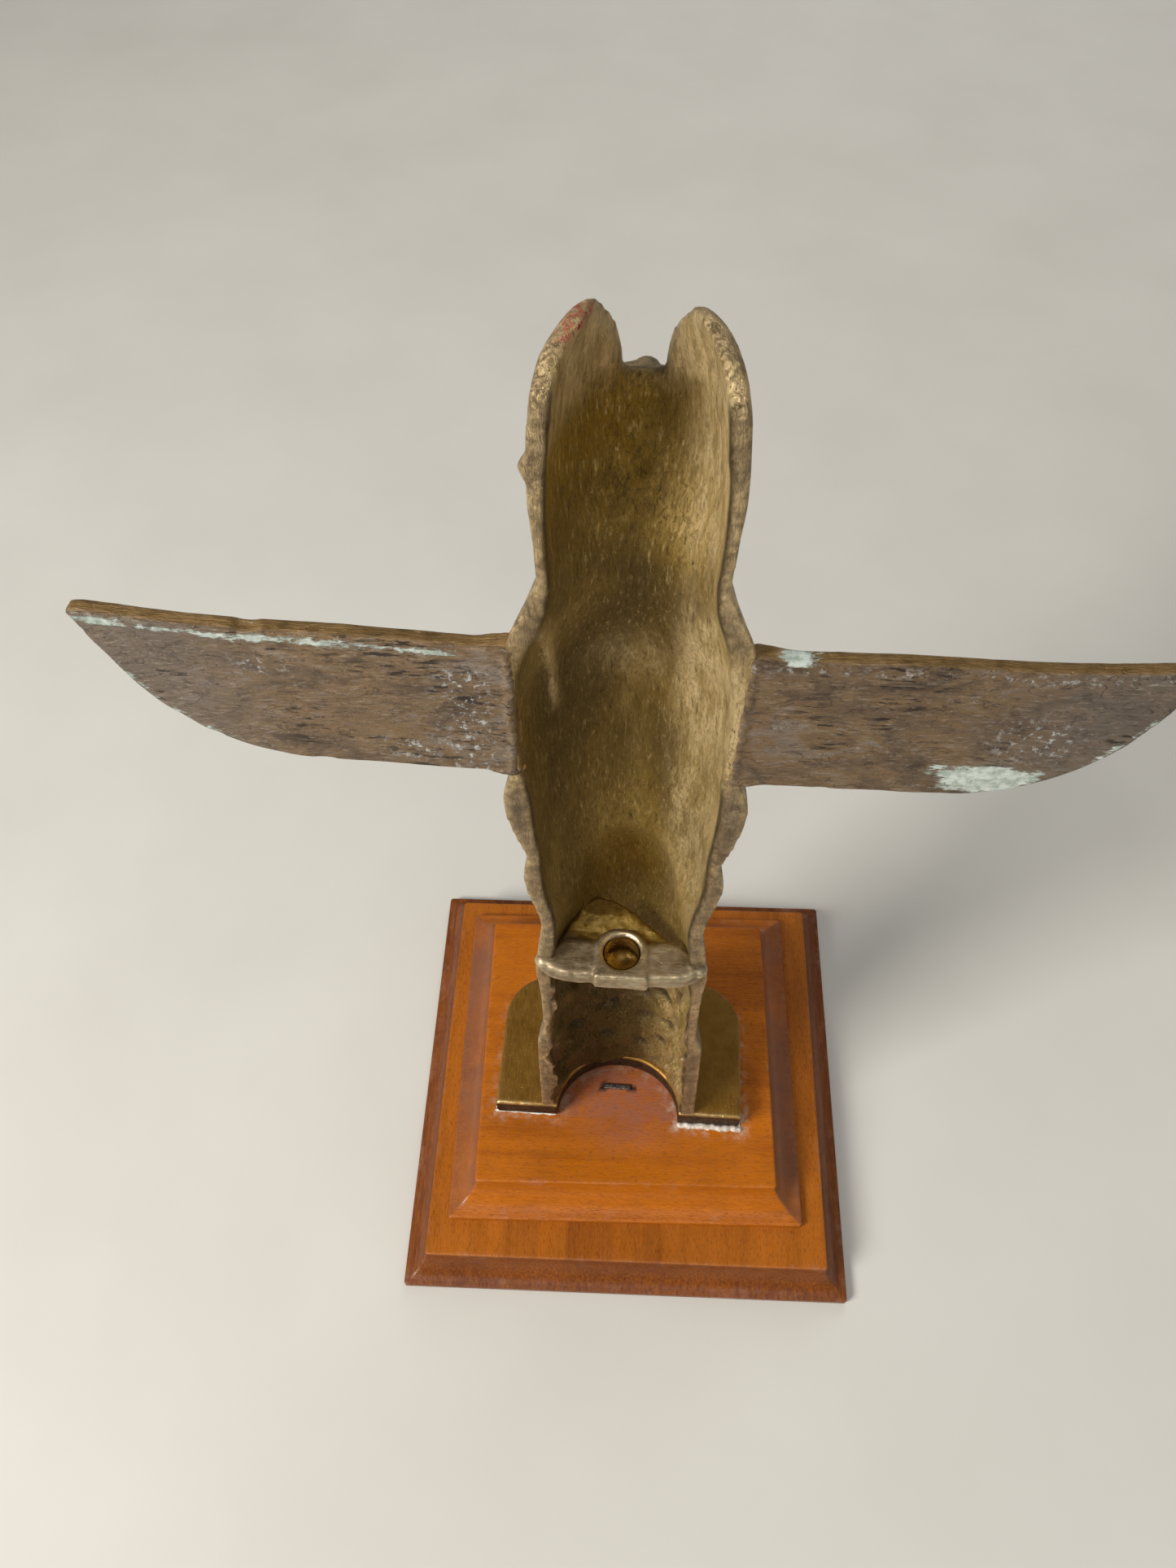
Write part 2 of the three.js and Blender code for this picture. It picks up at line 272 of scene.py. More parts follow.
def stacked(rings):
    """A closed surface through rings of equal length, from the lowest one up."""
    count = len(rings[0])
    points = np.concatenate(rings)
    faces = ring_faces(len(rings), count)
    faces.append(tuple(range(count))[::-1])
    faces.append(tuple(range(len(points) - count, len(points))))
    return points, faces


def other_side(points, faces):
    """The mirror image about x = 0."""
    return points * (-1, 1, 1), faces[:, ::-1]


def moved(points, place):
    return points @ np.array(place.to_3x3()).T + np.array(place.translation)


def add_object(name, data):
    made = bpy.data.objects.new(name, data)
    bpy.context.scene.collection.objects.link(made)
    return made


def new_piece(name, points, faces, material, nodes=(), place=TOTEM_PLACE, marks=None,
              crease=None):
    """Points are millimetres in the place's frame; marks are point attributes by name.

    Edges that turn more than crease degrees stay sharp.
    """
    mesh = bpy.data.meshes.new(name)
    faces = faces.tolist() if isinstance(faces, np.ndarray) else faces
    mesh.from_pydata((moved(np.asarray(points, float), place) * MM).tolist(), [], faces)
    mesh.polygons.foreach_set("use_smooth", [True] * len(mesh.polygons))
    if crease:
        mesh.set_sharp_from_angle(angle=math.radians(crease))
    for label, values in (marks or {}).items():
        attribute = mesh.attributes.new(label, "FLOAT", "POINT")
        attribute.data.foreach_set("value", np.asarray(values, np.float32))
    mesh.materials.append(material)
    piece = add_object(name, mesh)
    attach(piece, "root")
    if nodes:
        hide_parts(*nodes)
    return piece


def edge_marks(field, points, radius):
    """How far the surface bulges (worn) or is sheltered (hollow) at each point, from 0 to 1."""
    bulge = field.sample(field.blurred(radius), points) / radius
    return {"worn": np.clip(bulge * 4, 0, 1), "sheltered": np.clip(-bulge * 4, 0, 1)}


def sculpted_piece(name, field, material, nodes, radius, extra=None, place=TOTEM_PLACE):
    """A field's surface; radius is the size in mm of the edges that show wear."""
    points, faces = field.mesh()
    marks = edge_marks(field, points, radius)
    if extra:
        marks.update(extra(field, points))
    return new_piece(name, points, faces, material, nodes, place, marks)


# ---------------- shader helpers
class Shader:
    """A material whose coordinates are millimetres in the object's frame."""

    def __init__(self, name):
        self.material = bpy.data.materials.new(name)
        self.material.use_nodes = True
        self.tree = self.material.node_tree
        self.tree.nodes.clear()
        self.surface = self.tree.nodes.new("ShaderNodeBsdfPrincipled")
        output = self.tree.nodes.new("ShaderNodeOutputMaterial")
        self.tree.links.new(self.surface.outputs["BSDF"], output.inputs["Surface"])
        self.place = self.tree.nodes.new("ShaderNodeTexCoord").outputs["Object"]

    def put(self, socket, value):
        if isinstance(value, bpy.types.NodeSocket):
            self.tree.links.new(value, socket)
        elif isinstance(value, (tuple, list)) and socket.type == "RGBA" and len(value) == 3:
            socket.default_value = (*value, 1)
        else:
            socket.default_value = value

    def node(self, kind, output=0, settings=None, **inputs):
        made = self.tree.nodes.new(kind)
        for key, value in (settings or {}).items():
            setattr(made, key, value)
        for key, value in inputs.items():
            self.put(made.inputs[int(key[1:]) if key[1:].isdigit() else key], value)
        return made.outputs[output]

    def coordinates(self, size, stretch=(1, 1, 1)):
        scale = tuple(1 / (size * s) / MM for s in stretch)
        return self.node("ShaderNodeMapping", Vector=self.place, Scale=scale)

    def noise(self, size, detail=4, rough=0.55, stretch=(1, 1, 1), distort=0.0):
        """Noise whose largest features are about size mm, drawn out along an axis by stretch."""
        return self.node("ShaderNodeTexNoise", Vector=self.coordinates(size, stretch), Scale=1.0,
                         Detail=detail, Roughness=rough, Distortion=distort)

    def cells(self, size):
        return self.node("ShaderNodeTexVoronoi", "Distance", Vector=self.coordinates(size), Scale=1.0)

    def mark(self, name):
        return self.node("ShaderNodeAttribute", "Fac", {"attribute_name": name})

    def math(self, operation, a, b=0.0, clamp=False):
        return self.node("ShaderNodeMath", 0, {"operation": operation, "use_clamp": clamp}, _0=a, _1=b)

    def times(self, a, b, clamp=False):
        return self.math("MULTIPLY", a, b, clamp)

    def plus(self, a, b, clamp=False):
        return self.math("ADD", a, b, clamp)

    def minus(self, a, b):
        return self.math("SUBTRACT", a, b)

    def span(self, value, low, high, to_low=0.0, to_high=1.0):
        """A value carried smoothly from the range low to high to another range."""
        return self.node("ShaderNodeMapRange", 0, {"interpolation_type": "SMOOTHSTEP"}, Value=value,
                         **{"From Min": low, "From Max": high, "To Min": to_low, "To Max": to_high})

    def mix(self, share, a, b):
        made = self.tree.nodes.new("ShaderNodeMix")
        made.data_type = "RGBA"
        self.put(made.inputs[0], share)
        self.put(made.inputs[6], a)
        self.put(made.inputs[7], b)
        return made.outputs[2]

    def ramp(self, share, *stops):
        made = self.tree.nodes.new("ShaderNodeValToRGB")
        self.put(made.inputs[0], share)
        elements = made.color_ramp.elements
        while len(elements) < len(stops):
            elements.new(0.5)
        for element, (position, colour) in zip(elements, stops):
            element.position = position
            element.color = (*colour, 1)
        return made.outputs[0]

    def bump(self, height, depth, under=None):
        """Relief of the given depth in mm for a height from 0 to 1."""
        inputs = {"Height": height, "Distance": depth * MM, "Strength": 1.0}
        if under is not None:
            inputs["Normal"] = under
        return self.node("ShaderNodeBump", 0, None, **inputs)

    def finish(self, **inputs):
        for key, value in inputs.items():
            self.put(self.surface.inputs[key.replace("_", " ")], value)
        return self.material


# ---------------- materials
def brass(name, dark, middle, light, rub, brushed=(1, 1, 1), grain=0.5):
    """Patinated brass: dark in hollows, rubbed bright on edges, with cast grain and brushed lines.

    Returns the shader, its colour, roughness, metal share and relief, for the caller to add to.
    """
    s = Shader(name)
    clouds = s.noise(11, 5, 0.6, (1, 1, 1.6), 0.5)
    mottle = s.noise(1.7, 6, 0.65)
    lines = s.noise(0.3, 4, 0.65, brushed)
    patina = s.plus(s.times(clouds, 0.55), s.times(mottle, 0.25))
    patina = s.plus(patina, s.times(lines, 0.2))
    colour = s.ramp(patina, (0.36, dark), (0.5, middle), (0.64, light))
    colour = s.mix(s.times(s.mark("sheltered"), 0.8), colour, dark)
    rubbed = s.times(s.mark("worn"), s.span(mottle, 0.35, 0.65, 0.3, 1.25), clamp=True)
    colour = s.mix(rubbed, colour, rub)
    rough = s.minus(s.span(lines, 0.3, 0.7, 0.38, 0.6), s.times(rubbed, 0.12))
    metal = s.span(rubbed, 0.0, 0.6, 0.8, 1.0)
    relief = s.plus(s.times(mottle, 0.6), s.times(lines, 0.4))
    normal = s.bump(relief, grain)
    normal = s.bump(s.span(s.cells(1.3), 0.0, 0.2), 0.08, normal)
    return s, colour, rough, metal, normal


def casting_brass():
    """Olive gold inside, greyer on the outside and on the flat rear rims, with paint left on an ear, and
    painted light and shade in the hollow.
    """
    s, colour, rough, metal, normal = brass(
        "cast_brass", (0.07, 0.045, 0.018), (0.2, 0.14, 0.07), (0.36, 0.27, 0.15), (0.75, 0.56, 0.3),
        (1, 1, 16), 0.5)
    clouds = s.noise(16, 3, 0.5, (1, 1, 2.2), 0.4)
    glint_speckle = s.span(s.noise(0.4, 5, 0.75, (1, 1, 2.5)), 0.5, 0.7)
    inside = s.ramp(clouds, (0.36, (0.14, 0.08, 0.006)), (0.5, (0.27, 0.165, 0.022)),
                    (0.64, (0.45, 0.3, 0.08)))
    inside = s.mix(s.times(s.mark("olive"), 0.7), inside, (0.34, 0.2, 0.006))
    # painted highlights: the wall facing the light, the lit patch below the neck and the ear hollows
    # turn golden, as do the scoured seam and legs
    patches = s.span(s.noise(2.4, 6, 0.7, (1, 1, 3)), 0.36, 0.6, 0.3, 1.0)
    inside = s.mix(s.times(s.mark("painted_light_and_scour"), patches), inside, (0.74, 0.56, 0.29))
    # painted glints: bright gold specks in the hollow's colour
    inside = s.mix(s.times(glint_speckle, 0.6), inside, (0.95, 0.68, 0.26))
    scratches = s.noise(0.5, 5, 0.75, (1, 1, 6))
    inside = s.mix(s.span(scratches, 0.54, 0.68, 0.0, 0.6), inside, (0.9, 0.68, 0.32))
    inside = s.mix(s.span(scratches, 0.46, 0.32, 0.0, 0.75), inside, (0.05, 0.03, 0.003))
    # painted shade on the walls and bands that the light misses, with the patina in hollows folded in
    dull = s.math("MAXIMUM", s.mark("dull"), s.times(s.mark("sheltered"), 0.6))
    inside = s.mix(s.times(dull, 0.6), inside, (0.07, 0.04, 0.003))
    colour = s.mix(s.times(s.mark("inside"), 0.95), colour, inside)
    rim = s.ramp(s.noise(2.2, 6, 0.75), (0.38, (0.08, 0.05, 0.028)), (0.5, (0.16, 0.11, 0.064)),
                 (0.63, (0.36, 0.29, 0.18)))
    unworn = s.minus(0.85, s.times(s.mark("worn"), 0.6))
    colour = s.mix(s.times(s.mark("rim"), unworn), colour, rim)
    # painted shade: a dark line along the crease where the hollow meets the rim
    colour = s.mix(s.times(s.mark("crease"), 0.8), colour, (0.04, 0.024, 0.01))
    chips = s.span(s.noise(0.8, 4, 0.7), 0.45, 0.55)
    paint = s.times(s.mark("paint"), chips, clamp=True)
    colour = s.mix(paint, colour, (0.5, 0.03, 0.008))
    metal = s.times(metal, s.minus(1.0, paint))
    metal = s.times(metal, s.span(s.mark("inside"), 0.0, 1.0, 0.85, 0.62))
    glints = s.times(glint_speckle, s.mark("inside"))
    metal = s.plus(metal, s.times(glints, 0.3), clamp=True)
    rough = s.minus(rough, s.times(glints, 0.14))
    normal = s.bump(s.plus(glint_speckle, scratches), 0.22, normal)
    return s.finish(Base_Color=colour, Metallic=metal, Roughness=rough, Normal=normal)


def wing_brass():
    """Brass whose flat back is corroded brown, with pale streaks and verdigris."""
    s, colour, rough, metal, normal = brass(
        "wing_brass", (0.13, 0.078, 0.026), (0.27, 0.165, 0.06), (0.42, 0.27, 0.11), (0.8, 0.52, 0.24),
        (14, 1, 1), 0.25)
    stains = s.noise(7, 6, 0.68, (1.6, 1, 1), 1.2)
    crust = s.ramp(stains, (0.34, (0.1, 0.065, 0.04)), (0.46, (0.175, 0.115, 0.065)),
                   (0.54, (0.215, 0.135, 0.065)), (0.64, (0.23, 0.18, 0.135)))
    crust = s.mix(s.times(s.mark("grey"), 0.6), crust, (0.16, 0.135, 0.115))
    streaks = s.noise(0.42, 6, 0.72, (4, 1, 1), 0.5)
    wander = s.noise(3.2, 5, 0.62, (2.4, 1, 1), 0.8)
    cracks = s.span(s.math("ABSOLUTE", s.minus(wander, 0.5)), 0.012, 0.002)
    crust = s.mix(s.span(streaks, 0.53, 0.66, 0.0, 0.45), crust, (0.42, 0.36, 0.3))
    crust = s.mix(s.span(streaks, 0.46, 0.34, 0.0, 0.45), crust, (0.07, 0.045, 0.03))
    dashes = s.times(s.span(s.noise(0.7, 4, 0.65, (5, 1, 1)), 0.56, 0.6),
                     s.span(s.noise(12, 2), 0.5, 0.64), clamp=True)
    crust = s.mix(s.times(dashes, 0.9), crust, (0.02, 0.012, 0.008))
    crust = s.mix(s.times(cracks, 0.7), crust, (0.035, 0.022, 0.016))
    back = s.mark("back")
    colour = s.mix(back, colour, crust)
    thick = s.plus(s.noise(0.8, 5, 0.72, (2.5, 1, 1)), s.times(s.mark("verdigris"), 0.5))
    thick = s.plus(thick, s.times(s.noise(5, 3), 0.6))
    pale = s.ramp(s.noise(1.2, 4), (0.35, (0.33, 0.39, 0.33)), (0.6, (0.6, 0.66, 0.6)))
    bloom = s.times(s.span(s.mark("verdigris"), 0.0, 0.3), s.span(thick, 1.02, 1.16))
    colour = s.mix(bloom, colour, pale)
    white = s.times(s.mark("salts"), s.span(s.noise(1.1, 6, 0.75), 0.53, 0.6), clamp=True)
    colour = s.mix(white, colour, (0.6, 0.6, 0.57))
    cover = s.plus(bloom, white, clamp=True)
    metal = s.times(metal, s.span(back, 0.0, 1.0, 1.0, 0.62))
    metal = s.times(metal, s.minus(1.0, cover))
    rough = s.plus(rough, s.times(cover, 0.3), clamp=True)
    normal = s.bump(streaks, 0.22, normal)
    normal = s.bump(s.plus(bloom, white), 0.12, normal)
    return s.finish(Base_Color=colour, Metallic=metal, Roughness=rough, Normal=normal)


def lug_brass():
    """Dull grey-gold on the ledge and olive on the rough web."""
    s, colour, rough, metal, normal = brass(
        "lug_brass", (0.16, 0.11, 0.06), (0.34, 0.27, 0.17), (0.5, 0.42, 0.29), (0.8, 0.66, 0.42),
        (5, 1, 1), 0.16)
    rust = s.span(s.noise(2.2, 5, 0.7), 0.5, 0.66)
    olive = s.ramp(s.noise(1.6, 5, 0.7), (0.35, (0.2, 0.12, 0.012)), (0.62, (0.43, 0.29, 0.08)))
    colour = s.mix(s.times(rust, 0.35), colour, (0.28, 0.17, 0.08))
    colour = s.mix(s.mark("web"), colour, olive)
    return s.finish(Base_Color=colour, Metallic=metal, Roughness=rough, Normal=normal)


def thread_brass():
    """Bright yellow where the tap cut it, darker towards the bottom of the hole."""
    s = Shader("thread_brass")
    tarnish = s.noise(1.4, 5, 0.65, (1, 1, 0.6))
    colour = s.ramp(tarnish, (0.35, (0.34, 0.2, 0.05)), (0.5, (0.7, 0.47, 0.14)),
                    (0.65, (0.95, 0.74, 0.34)))
    colour = s.mix(s.times(s.mark("deep"), 0.8), colour, (0.15, 0.085, 0.015))
    return s.finish(Base_Color=colour, Metallic=1.0, Roughness=s.span(tarnish, 0.35, 0.65, 0.42, 0.24),
                    Normal=s.bump(s.noise(0.3, 3), 0.03))


def plate_brass():
    """Flat brass with an even olive patina, darker on the sawn sides."""
    s, colour, rough, metal, normal = brass(
        "plate_brass", (0.25, 0.12, 0.016), (0.33, 0.17, 0.028), (0.42, 0.23, 0.05), (0.62, 0.43, 0.19),
        (1, 12, 1), 0.07)
    side = s.ramp(s.noise(1.2, 5, 0.7), (0.35, (0.03, 0.018, 0.01)), (0.65, (0.12, 0.075, 0.04)))
    colour = s.mix(s.mark("side"), colour, side)
    rough = s.plus(rough, s.times(s.mark("side"), 0.1))
    return s.finish(Base_Color=colour, Metallic=metal, Roughness=rough, Normal=normal)


def varnished_wood(name, along, pale, deep, dark):
    """Stained, varnished wood with its grain along x or y; darker where the profile slopes, with a
    painted purple-grey sheen on the sides.
    """
    s = Shader(name)
    stretch = (12, 1, 1) if along == "x" else (1, 12, 1)
    figure = s.noise(9, 4, 0.55, stretch, 0.9)
    blotches = s.noise(14, 3, 0.5)
    fibres = s.noise(0.55, 5, 0.7, stretch)
    pores = s.noise(0.2, 2, 0.5, tuple(0.55 * v for v in stretch))
    tone = s.plus(s.times(figure, 0.5), s.times(fibres, 0.28))
    tone = s.plus(tone, s.times(blotches, 0.22))
    bright = tuple(1.25 * c for c in pale)
    colour = s.ramp(tone, (0.36, deep), (0.5, pale), (0.64, bright))
    pore_mark = s.span(pores, 0.57, 0.7)
    colour = s.mix(s.times(pore_mark, 0.4), colour, dark)
    colour = s.mix(s.times(s.mark("slope"), s.span(fibres, 0.3, 0.7, 0.9, 0.5)), colour, dark)
    rubbed = s.times(s.mark("edge"), s.span(s.noise(6, 5, 0.7), 0.5, 0.7), clamp=True)
    colour = s.mix(s.times(rubbed, 0.3), colour, tuple(0.15 + 0.8 * c for c in pale))
    # painted sheen: the coves on the sides across x take a purple-grey reflection
    dulled = s.times(s.mark("flank"), s.span(blotches, 0.35, 0.6, 0.45, 0.85))
    colour = s.mix(dulled, colour, (0.15, 0.075, 0.055))
    stain = s.times(s.mark("stain"), s.span(s.noise(3, 5, 0.65), 0.32, 0.62, 0.35, 1.0))
    colour = s.mix(stain, colour, (0.36, 0.12, 0.06))
    haze = s.times(s.mark("haze"), s.span(s.noise(2.4, 5, 0.62), 0.4, 0.7), clamp=True)
    colour = s.mix(haze, colour, (0.62, 0.5, 0.4))
    # painted shade: near-black spots stand in for the holes round the staple legs
    colour = s.mix(s.mark("dent"), colour, (0.012, 0.006, 0.003))
    rough = s.span(s.noise(5, 4, 0.6), 0.3, 0.7, 0.28, 0.44)
    rough = s.plus(rough, s.times(s.plus(stain, haze), 0.25), clamp=True)
    relief = s.minus(s.times(fibres, 0.6), s.times(pore_mark, 0.5))
    return s.finish(Base_Color=colour, Roughness=rough, Normal=s.bump(relief, 0.09),
                    Specular_IOR_Level=0.3, Coat_Weight=0.12, Coat_Roughness=0.2)


def steel():
    s = Shader("staple_steel")
    mottle = s.noise(0.6, 5, 0.7)
    colour = s.ramp(mottle, (0.35, (0.05, 0.035, 0.03)), (0.62, (0.3, 0.27, 0.25)))
    return s.finish(Base_Color=colour, Metallic=0.9, Roughness=s.span(mottle, 0.3, 0.7, 0.3, 0.55),
                    Normal=s.bump(mottle, 0.05))


def dried_glue():
    s = Shader("dried_glue")
    mottle = s.noise(0.8, 5, 0.7)
    colour = s.ramp(mottle, (0.35, (0.5, 0.4, 0.3)), (0.6, (0.85, 0.8, 0.72)))
    return s.finish(Base_Color=colour, Roughness=s.span(mottle, 0.3, 0.7, 0.35, 0.6),
                    Subsurface_Weight=0.2, Subsurface_Scale=0.0008, Normal=s.bump(mottle, 0.15))


def felt():
    s = Shader("pale_felt")
    fuzz = s.noise(0.5, 6, 0.8)
    clumps = s.noise(4, 4, 0.6)
    colour = s.ramp(clumps, (0.35, (0.42, 0.37, 0.28)), (0.65, (0.54, 0.49, 0.39)))
    colour = s.mix(s.span(fuzz, 0.45, 0.65, 0.0, 0.6), colour, (0.68, 0.64, 0.55))
    return s.finish(Base_Color=colour, Roughness=0.95, Sheen_Weight=0.5, Sheen_Roughness=0.4,
                    Normal=s.bump(fuzz, 0.25))


# ---------------- the totem's sections
# Height, half width and depth of the outside, half width and depth of the hollow; the depths run
# forward from the flat back.
SECTIONS = np.array([
    [24.0, 17.6, 20, 14.2, 13.0],
    [36.0, 17.4, 21.5, 14.0, 13.4],
    [52.0, 17.1, 22, 13.8, 13.8],
    [62.0, 16.8, 21, 13.5, 13.8],
    [66.5, 15.2, 20, 13.3, 13.6],
    [84.0, 15.1, 19.5, 12.9, 13.2],
    [96.0, 15.6, 20, 12.5, 13.4],
    [103.0, 14.8, 21, 11.8, 14.2],
    [112.0, 13.7, 21, 11.2, 14.0],
    [117.0, 14.2, 20.5, 11.6, 13.8],
    [122.0, 15.2, 20, 12.4, 13.8],
    [128.0, 16.0, 20, 12.9, 13.8],
    [135.0, 14.9, 19.5, 12.8, 14.2],
    [140.0, 16.3, 20, 13.1, 14.8],
    [146.0, 17.5, 21, 13.4, 15.4],
    [151.0, 17.6, 21.5, 13.5, 15.8],
    [156.0, 16.2, 22, 13.7, 15.8],
    [158.0, 15.3, 22.5, 13.9, 15.7],
    [168.0, 15.2, 23.5, 14.0, 14.6],
    [176.0, 15.2, 23, 13.7, 12.6],
    [181.0, 15.2, 22, 12.8, 11.2],
    [185.0, 15.1, 20.5, 11.6, 10.5],
    [190.0, 12.8, 18.0, 9.9, 10.4],
    [194.5, 10.9, 16.8, 9.4, 11.2],
    [200.0, 11.2, 17.5, 9.7, 13.0],
    [206.0, 11.6, 18.5, 9.6, 14.6],
    [211.0, 11.5, 17.8, 9.3, 15.2],
    [216.0, 11.1, 17, 8.8, 14.4],
    [220.0, 10.7, 16, 8.3, 13.4],
    [222.5, 10.0, 15, 7.6, 12.4],
    [224.0, 9.0, 14, 6.6, 11.2],
    [225.5, 7.4, 13, 5.2, 10.0],
])
SMOOTHING = 1.2  # mm over which the sections run into each other
LEAN_FROM, LEAN_TO, LEAN_SHIFT = 160.0, 212.0, -0.5  # the head leans to one side of the foot
HOLLOW_SHIFT = 0.55  # the hollow beside the wings lies off centre


def section(z):
    """Half width, depth, hollow half width and hollow depth at the given heights."""
    reach = np.array([-1, -0.5, 0, 0.5, 1]) * SMOOTHING
    return [np.mean([np.interp(z + r, SECTIONS[:, 0], column) for r in reach], axis=0)
            for column in SECTIONS.T[1:]]


def lean_at(z):
    return LEAN_SHIFT * smoothstep(np.asarray(z, float), LEAN_FROM, LEAN_TO)


def shoulder_taper(z):
    """How fast the body narrows towards its front near the shoulders, per mm."""
    most = 0.017
    return most * smoothstep(z, 168, 177) * (1 - 0.75 * smoothstep(z, 187, 193))


def hollow_middle(z):
    return lean_at(z) + HOLLOW_SHIFT * between(z, 148, 160, 178, 188)


def half_ellipse(x, y, width, depth, taper):
    """Distance to an upright half ellipse that opens at the back and may narrow towards its front."""
    v = np.maximum(REAR - y, 0)
    width = width * (1 - taper * np.minimum(v, 16))
    near = np.sqrt((x / width) ** 2 + (v / depth) ** 2)
    slope = np.sqrt((x / width ** 2) ** 2 + (v / depth ** 2) ** 2)
    return near * (near - 1) / np.maximum(slope, 1e-3)


def feathers(across, down, width, length, depth):
    """Height of rows of overlapping round-ended feathers; each row lies over the next one down."""
    height = np.zeros(np.broadcast_shapes(across.shape, down.shape), np.float32)
    row = np.floor(down / length)
    for index in (row, row - 1):  # the tips of the row above lie over this one
        centre = (across / width + 0.5 * (index % 2)) % 1 - 0.5
        run = (down - index * length) / (length * 1.45)  # 0 at the root, 1 at the tip
        quill = hump(centre * width / 0.5)
        lift = depth * (0.25 + 0.75 * run - 0.3 * quill)
        height = np.where(run < 1 - 1.6 * centre ** 2, lift, height)
    return height


def mirrored(points):
    """The same points with x turned round."""
    return [(-p[0], *p[1:]) for p in points]


def both_sides(field, form_of, points, action="add", blend=0.6, lean=0.0):
    """The same form on each side of the centre line; action is what the field does with it."""
    for side in (points, mirrored(points)):
        shifted = [(p[0] + lean, *p[1:]) for p in side]
        getattr(field, action)(form_of(shifted), blend)


def pair(field, centre, radii, action="add", blend=0.6):
    """A blob on each side of the centre line, which leans in the head."""
    lean = float(lean_at(centre[2]))
    for side in (-1, 1):
        getattr(field, action)(blob((side * centre[0] + lean, *centre[1:]), radii), blend)


def eye_rings(field, centre, radius, thick, turn, lean=0.0):
    """A rim round each eye, turned outwards by so many degrees."""
    for side in (-1, 1):
        field.add(ring((side * centre[0] + lean, *centre[1:]), radius, thick, side * turn), 0.4)


# ---------------- carving
def carve_bird_head(field):
    lean = float(lean_at(205))
    field.add(tube([(lean, 0, 203.0, 4.4), (lean, -6, 202.9, 3.9), (lean, -11.5, 201.5, 3.2),
                    (lean, -15, 198.4, 2.3), (lean, -16.2, 193.4, 0.9)], 1.3), 1.6)
    field.add(tube([(lean, 0, 197.4, 3.8), (lean, -7, 196.8, 2.8), (lean, -11.2, 195.8, 1.5)], 1.25),
              0.8)
    both_sides(field, tube, [(5.4, -1.5, 199.9, 0.55), (4.2, -7, 199.8, 0.6), (2.4, -11.6, 198.4, 0.6),
                             (0.3, -14.2, 195.6, 0.5)], "cut", 0.3, lean)
    both_sides(field, tube, [(3.0, -7.6, 203.6, 0.45), (3.0, -9.0, 203.2, 0.7)], "cut", 0.3, lean)
    pair(field, (7.4, -1.4, 202.6), (3.7, 3.0, 3.2), "cut", 1.0)
    pair(field, (6.9, 0.9, 202.6), (2.7, 2.9, 2.7), "add", 0.3)
    eye_rings(field, (7.0, -0.5, 202.6), 3.1, 0.55, 28, lean)
    both_sides(field, tube, [(0, -4.0, 208.2, 1.7), (4.8, -2.6, 208.2, 1.7), (8.8, 2.4, 207.0, 1.5),
                             (11.2, 8.6, 203.2, 0.9)], "add", 0.8, lean)
    both_sides(field, tube, [(7.0, 1.4, 212.5, 1.3), (6.6, 2.2, 217.5, 1.1)], "cut", 1.0, lean)
    both_sides(field, tube, [(10.6, 9.2, 198.4, 1.0), (9.0, 4.4, 194.4, 1.2), (5.0, 0.0, 191.8, 1.2),
                             (0, -2.0, 190.8, 1.2)], "add", 0.9, lean)


def carve_bird_body(field):
    pair(field, (9.4, -1.6, 147.5), (6.2, 5.4, 9.5), "add", 1.2)
    both_sides(field, tube, [(9.2, -3.6, 139.5, 2.9), (9.3, -2.2, 131.5, 2.4)], "add", 1.2)
    for toe in ((5.6, -5.6, 124.4), (9.6, -5.4, 123.4), (13.2, -1.0, 124.6)):
        both_sides(field, tube, [(9.3, -1.8, 131, 2.2), (*toe[:2], toe[2] + 2, 1.6), (*toe, 0.8)],
                   "add", 0.6)
    field.add(blob((0, -2.4, 139), (5.4, 4.0, 15.5)), 1.0)
    for x in (-3.4, -1.15, 1.15, 3.4):
        field.cut(tube([(x * 0.8, -6.2, 150, 0.4), (x, -6.9, 138, 0.45), (x * 1.1, -6.0, 127, 0.4)]),
                  0.4)
    for z in (150.5, 146.5, 142.5):
        both_sides(field, tube, [(12.8, -5.9, z, 0.45), (9.4, -7.2, z - 2.4, 0.55),
                                 (6.2, -6.0, z, 0.45)], "cut", 0.4)


def carve_lower_head(field):
    field.add(blob((0, 2.6, 108), (15.4, 12.4, 12.6)), 1.6)
    pair(field, (11.0, 0.2, 119.2), (4.0, 3.2, 4.6), "add", 0.8)
    pair(field, (11.0, -3.0, 119.8), (2.1, 1.7, 2.8), "cut", 0.6)
    field.add(blob((0, -10.4, 103.2), (6.6, 6.4, 4.8)), 1.6)
    field.add(blob((0, -16.2, 105.2), (2.9, 1.8, 1.9)), 0.6)
    pair(field, (1.3, -17.8, 104.9), (0.6, 0.8, 0.6), "cut", 0.3)
    both_sides(field, tube, [(0, -16.4, 101.0, 0.5), (3.6, -15.0, 100.6, 0.6), (7.4, -9.4, 101.4, 0.6)],
               "cut", 0.4)
    pair(field, (6.4, -9.4, 109.2), (3.3, 2.4, 2.9), "cut", 0.9)
    pair(field, (6.1, -6.8, 109.2), (2.5, 2.9, 2.4), "add", 0.3)
    eye_rings(field, (6.3, -8.4, 109.2), 2.9, 0.5, 24)
    both_sides(field, tube, [(1.8, -10.6, 111.6, 1.2), (6.4, -9.0, 114.2, 1.5), (11.0, -4.8, 113.2, 1.3),
                             (13.4, -0.6, 110.0, 0.7)], "add", 0.8)
    both_sides(field, tube, [(4.6, -5.0, 119.6, 0.4), (0, -7.6, 116.4, 0.6)], "cut", 0.5)


